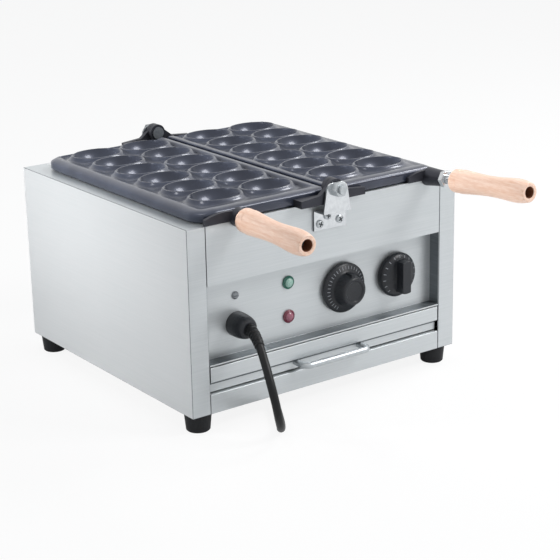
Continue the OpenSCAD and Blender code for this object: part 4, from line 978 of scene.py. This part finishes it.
for name in ("left_side_panel", "right_side_panel"):
    normals = rows_of(soft[name].data.polygons, "normal")
    # The side panels' front flanges and tops keep the front's steel; only their sides carry the
    # painted light.
    dress_faces(soft[name], front_steel, (normals[:, 1] < -FACING) | (normals[:, 2] > FACING))
    # The bevels' faces take the plain inner steel as painted shade along the folds.
    soft[name].data.materials.append(inner_steel)
    soft[name].modifiers["rounding"].material = 2  # the bevel's faces are darker, as a fold's shade

bracket = soft["front_hinge_bracket"]
# Painted shade: the bracket's side faces take the dark steel.
dress_faces(bracket, painted_shade_steel,
            abs(rows_of(bracket.data.polygons, "normal")[:, 0]) > EDGE_FACING)

plug = soft["mains_plug"]
pin_start = (rows_of(plug.data.vertices, "co") @ plug_way).max() - PIN_LENGTH
dress_faces(plug, bright_steel, rows_of(plug.data.polygons, "center") @ plug_way > pin_start)
print("softened pieces with two finishes:", sum(len(p.data.materials) > 1 for p in soft.values()))

# %% [markdown]
# Below the step in the drawer's front, the shade under its fold is painted. A level cut through the
# front, just under the step, leaves a narrow face, and that face takes the dark steel of painted
# shade.

# %% Painted shade under the drawer's fold
FOLD_LINE = 3.0 * MM
front_mesh = soft["drawer_front"].data
levels = np.unique(np.round(rows_of(front_mesh.vertices, "co")[:, 2], 5))
fold_z = levels[1]
work = bmesh.new()
work.from_mesh(front_mesh)
bmesh.ops.bisect_plane(work, geom=[*work.verts, *work.edges, *work.faces],
                       plane_co=(0, 0, fold_z - FOLD_LINE), plane_no=(0, 0, 1))
work.to_mesh(front_mesh)
work.free()
normals, middles = (rows_of(front_mesh.polygons, what) for what in ("normal", "center"))
fold_shade_band = (fold_z - FOLD_LINE < middles[:, 2]) & (middles[:, 2] < fold_z)
# Painted shade: the narrow face under the fold takes the dark steel.
dress_faces(soft["drawer_front"], painted_shade_steel, (normals[:, 1] < -FACING) & fold_shade_band)
print("fold at", round(fold_z / MM, 1), "mm")

# %% [markdown]
# ## Floor and light
# A pale floor carries the object. It could be lit until it is white, but then the steel would be too
# bright. So the camera sees it mostly as plain white, mirrors see it partly so, and the rest is
# paper that keeps the object's shadow.

# %% Floor
FLOOR_HALF, WHITE_TO_CAMERA, WHITE_TO_MIRRORS = 6.0, 0.88, 0.3
floor_corners = np.array([[-1, -1, 0], [1, -1, 0], [1, 1, 0], [-1, 1, 0]]) * FLOOR_HALF
floor = make_piece("floor", floor_corners, [[0, 1, 2, 3]], None)
floor_paper, tree, shader, where = new_material("white paper", Roughness=0.9)
shader.inputs["Base Color"].default_value = linear("#F4F4F4")
path = add_node(tree, "ShaderNodeLightPath").outputs
glow = add_node(tree, "ShaderNodeEmission", values={"Color": (1, 1, 1, 1), "Strength": 1.0})
mirrored = add_node(tree, "ShaderNodeMath",
                    {0: path["Is Glossy Ray"], 1: path["Is Transmission Ray"]},
                    operation="MAXIMUM")
mirror_share = add_node(tree, "ShaderNodeMath", {0: mirrored.outputs[0]}, {1: WHITE_TO_MIRRORS},
                        operation="MULTIPLY")
camera_share = add_node(tree, "ShaderNodeMath", {0: path["Is Camera Ray"]}, {1: WHITE_TO_CAMERA},
                        operation="MULTIPLY")
white_share = add_node(tree, "ShaderNodeMath",
                       {0: mirror_share.outputs[0], 1: camera_share.outputs[0]},
                       operation="MAXIMUM")
paper_or_white = add_node(tree, "ShaderNodeMixShader",
                          {0: white_share.outputs[0], 1: shader.outputs[0], 2: glow.outputs[0]})
tree.links.new(paper_or_white.outputs[0], tree.nodes["Material Output"].inputs["Surface"])
dress(floor, floor_paper)
print("floor in m:", 2 * FLOOR_HALF)

# %% [markdown]
# The camera, mirrors and glass see a white world, which the steel and the castings reflect. Other
# rays get less than half of that, so that the object is lit at a plain level.

# %% World
FILL_STRENGTH = 0.42
world = bpy.data.worlds.new("white studio")
scene.world = world
world.use_nodes = True
tree = world.node_tree
tree.nodes.clear()
path = add_node(tree, "ShaderNodeLightPath").outputs
fill = add_node(tree, "ShaderNodeBackground",
                values={"Color": linear("#EDF1F6"), "Strength": FILL_STRENGTH})
white = add_node(tree, "ShaderNodeBackground", values={"Color": (1, 1, 1, 1), "Strength": 1.0})
seen_or_glossy = add_node(tree, "ShaderNodeMath",
                          {0: path["Is Camera Ray"], 1: path["Is Glossy Ray"]},
                          operation="MAXIMUM")
any_view = add_node(tree, "ShaderNodeMath",
                    {0: seen_or_glossy.outputs[0], 1: path["Is Transmission Ray"]},
                    operation="MAXIMUM")
mixed = add_node(tree, "ShaderNodeMixShader",
                 {0: any_view.outputs[0], 1: fill.outputs[0], 2: white.outputs[0]})
add_node(tree, "ShaderNodeOutputWorld", {"Surface": mixed.outputs[0]})
print("world:", world.name)

# %% [markdown]
# A large soft lamp stands in front, above and to the right, and a smaller one on the right, whose
# mirror image gives the glossy cups their bright curves; a very small one from above adds a second
# glint. A narrow, weak lamp lights the back of the left side panel. It is hidden from reflections,
# because it would draw white lines on the plates' rims.

# %% Lamps
# For each lamp: place and aim in metres, size in metres, spread in degrees, power in watts.
LAMPS = {"key": ((1.2, -1.3, 1.6), (0, 0, 0.12), 0.8, 180, 29),
         "right": ((1.3, 0.05, 1.35), (0, 0, 0.12), 0.5, 180, 12),
         "left": ((-0.8, 0.4, 0.4), (-0.16, 0.12, 0.22), 0.25, 40, 0.65),
         "top": ((-0.5, 0.0, 1.5), (0, 0, 0.2), 0.18, 180, 1.6)}
for name, (place, aim, size, spread, power) in LAMPS.items():
    lamp = bpy.data.lights.new(name, "AREA")
    lamp.size, lamp.energy, lamp.spread = size, power, math.radians(spread)
    holder = bpy.data.objects.new(name, lamp)
    holder.location = place
    holder.visible_glossy = name != "left"
    holder.rotation_euler = (Vector(aim) - Vector(place)).to_track_quat("-Z", "Y").to_euler()
    scene.collection.objects.link(holder)
print("lamps:", list(LAMPS))
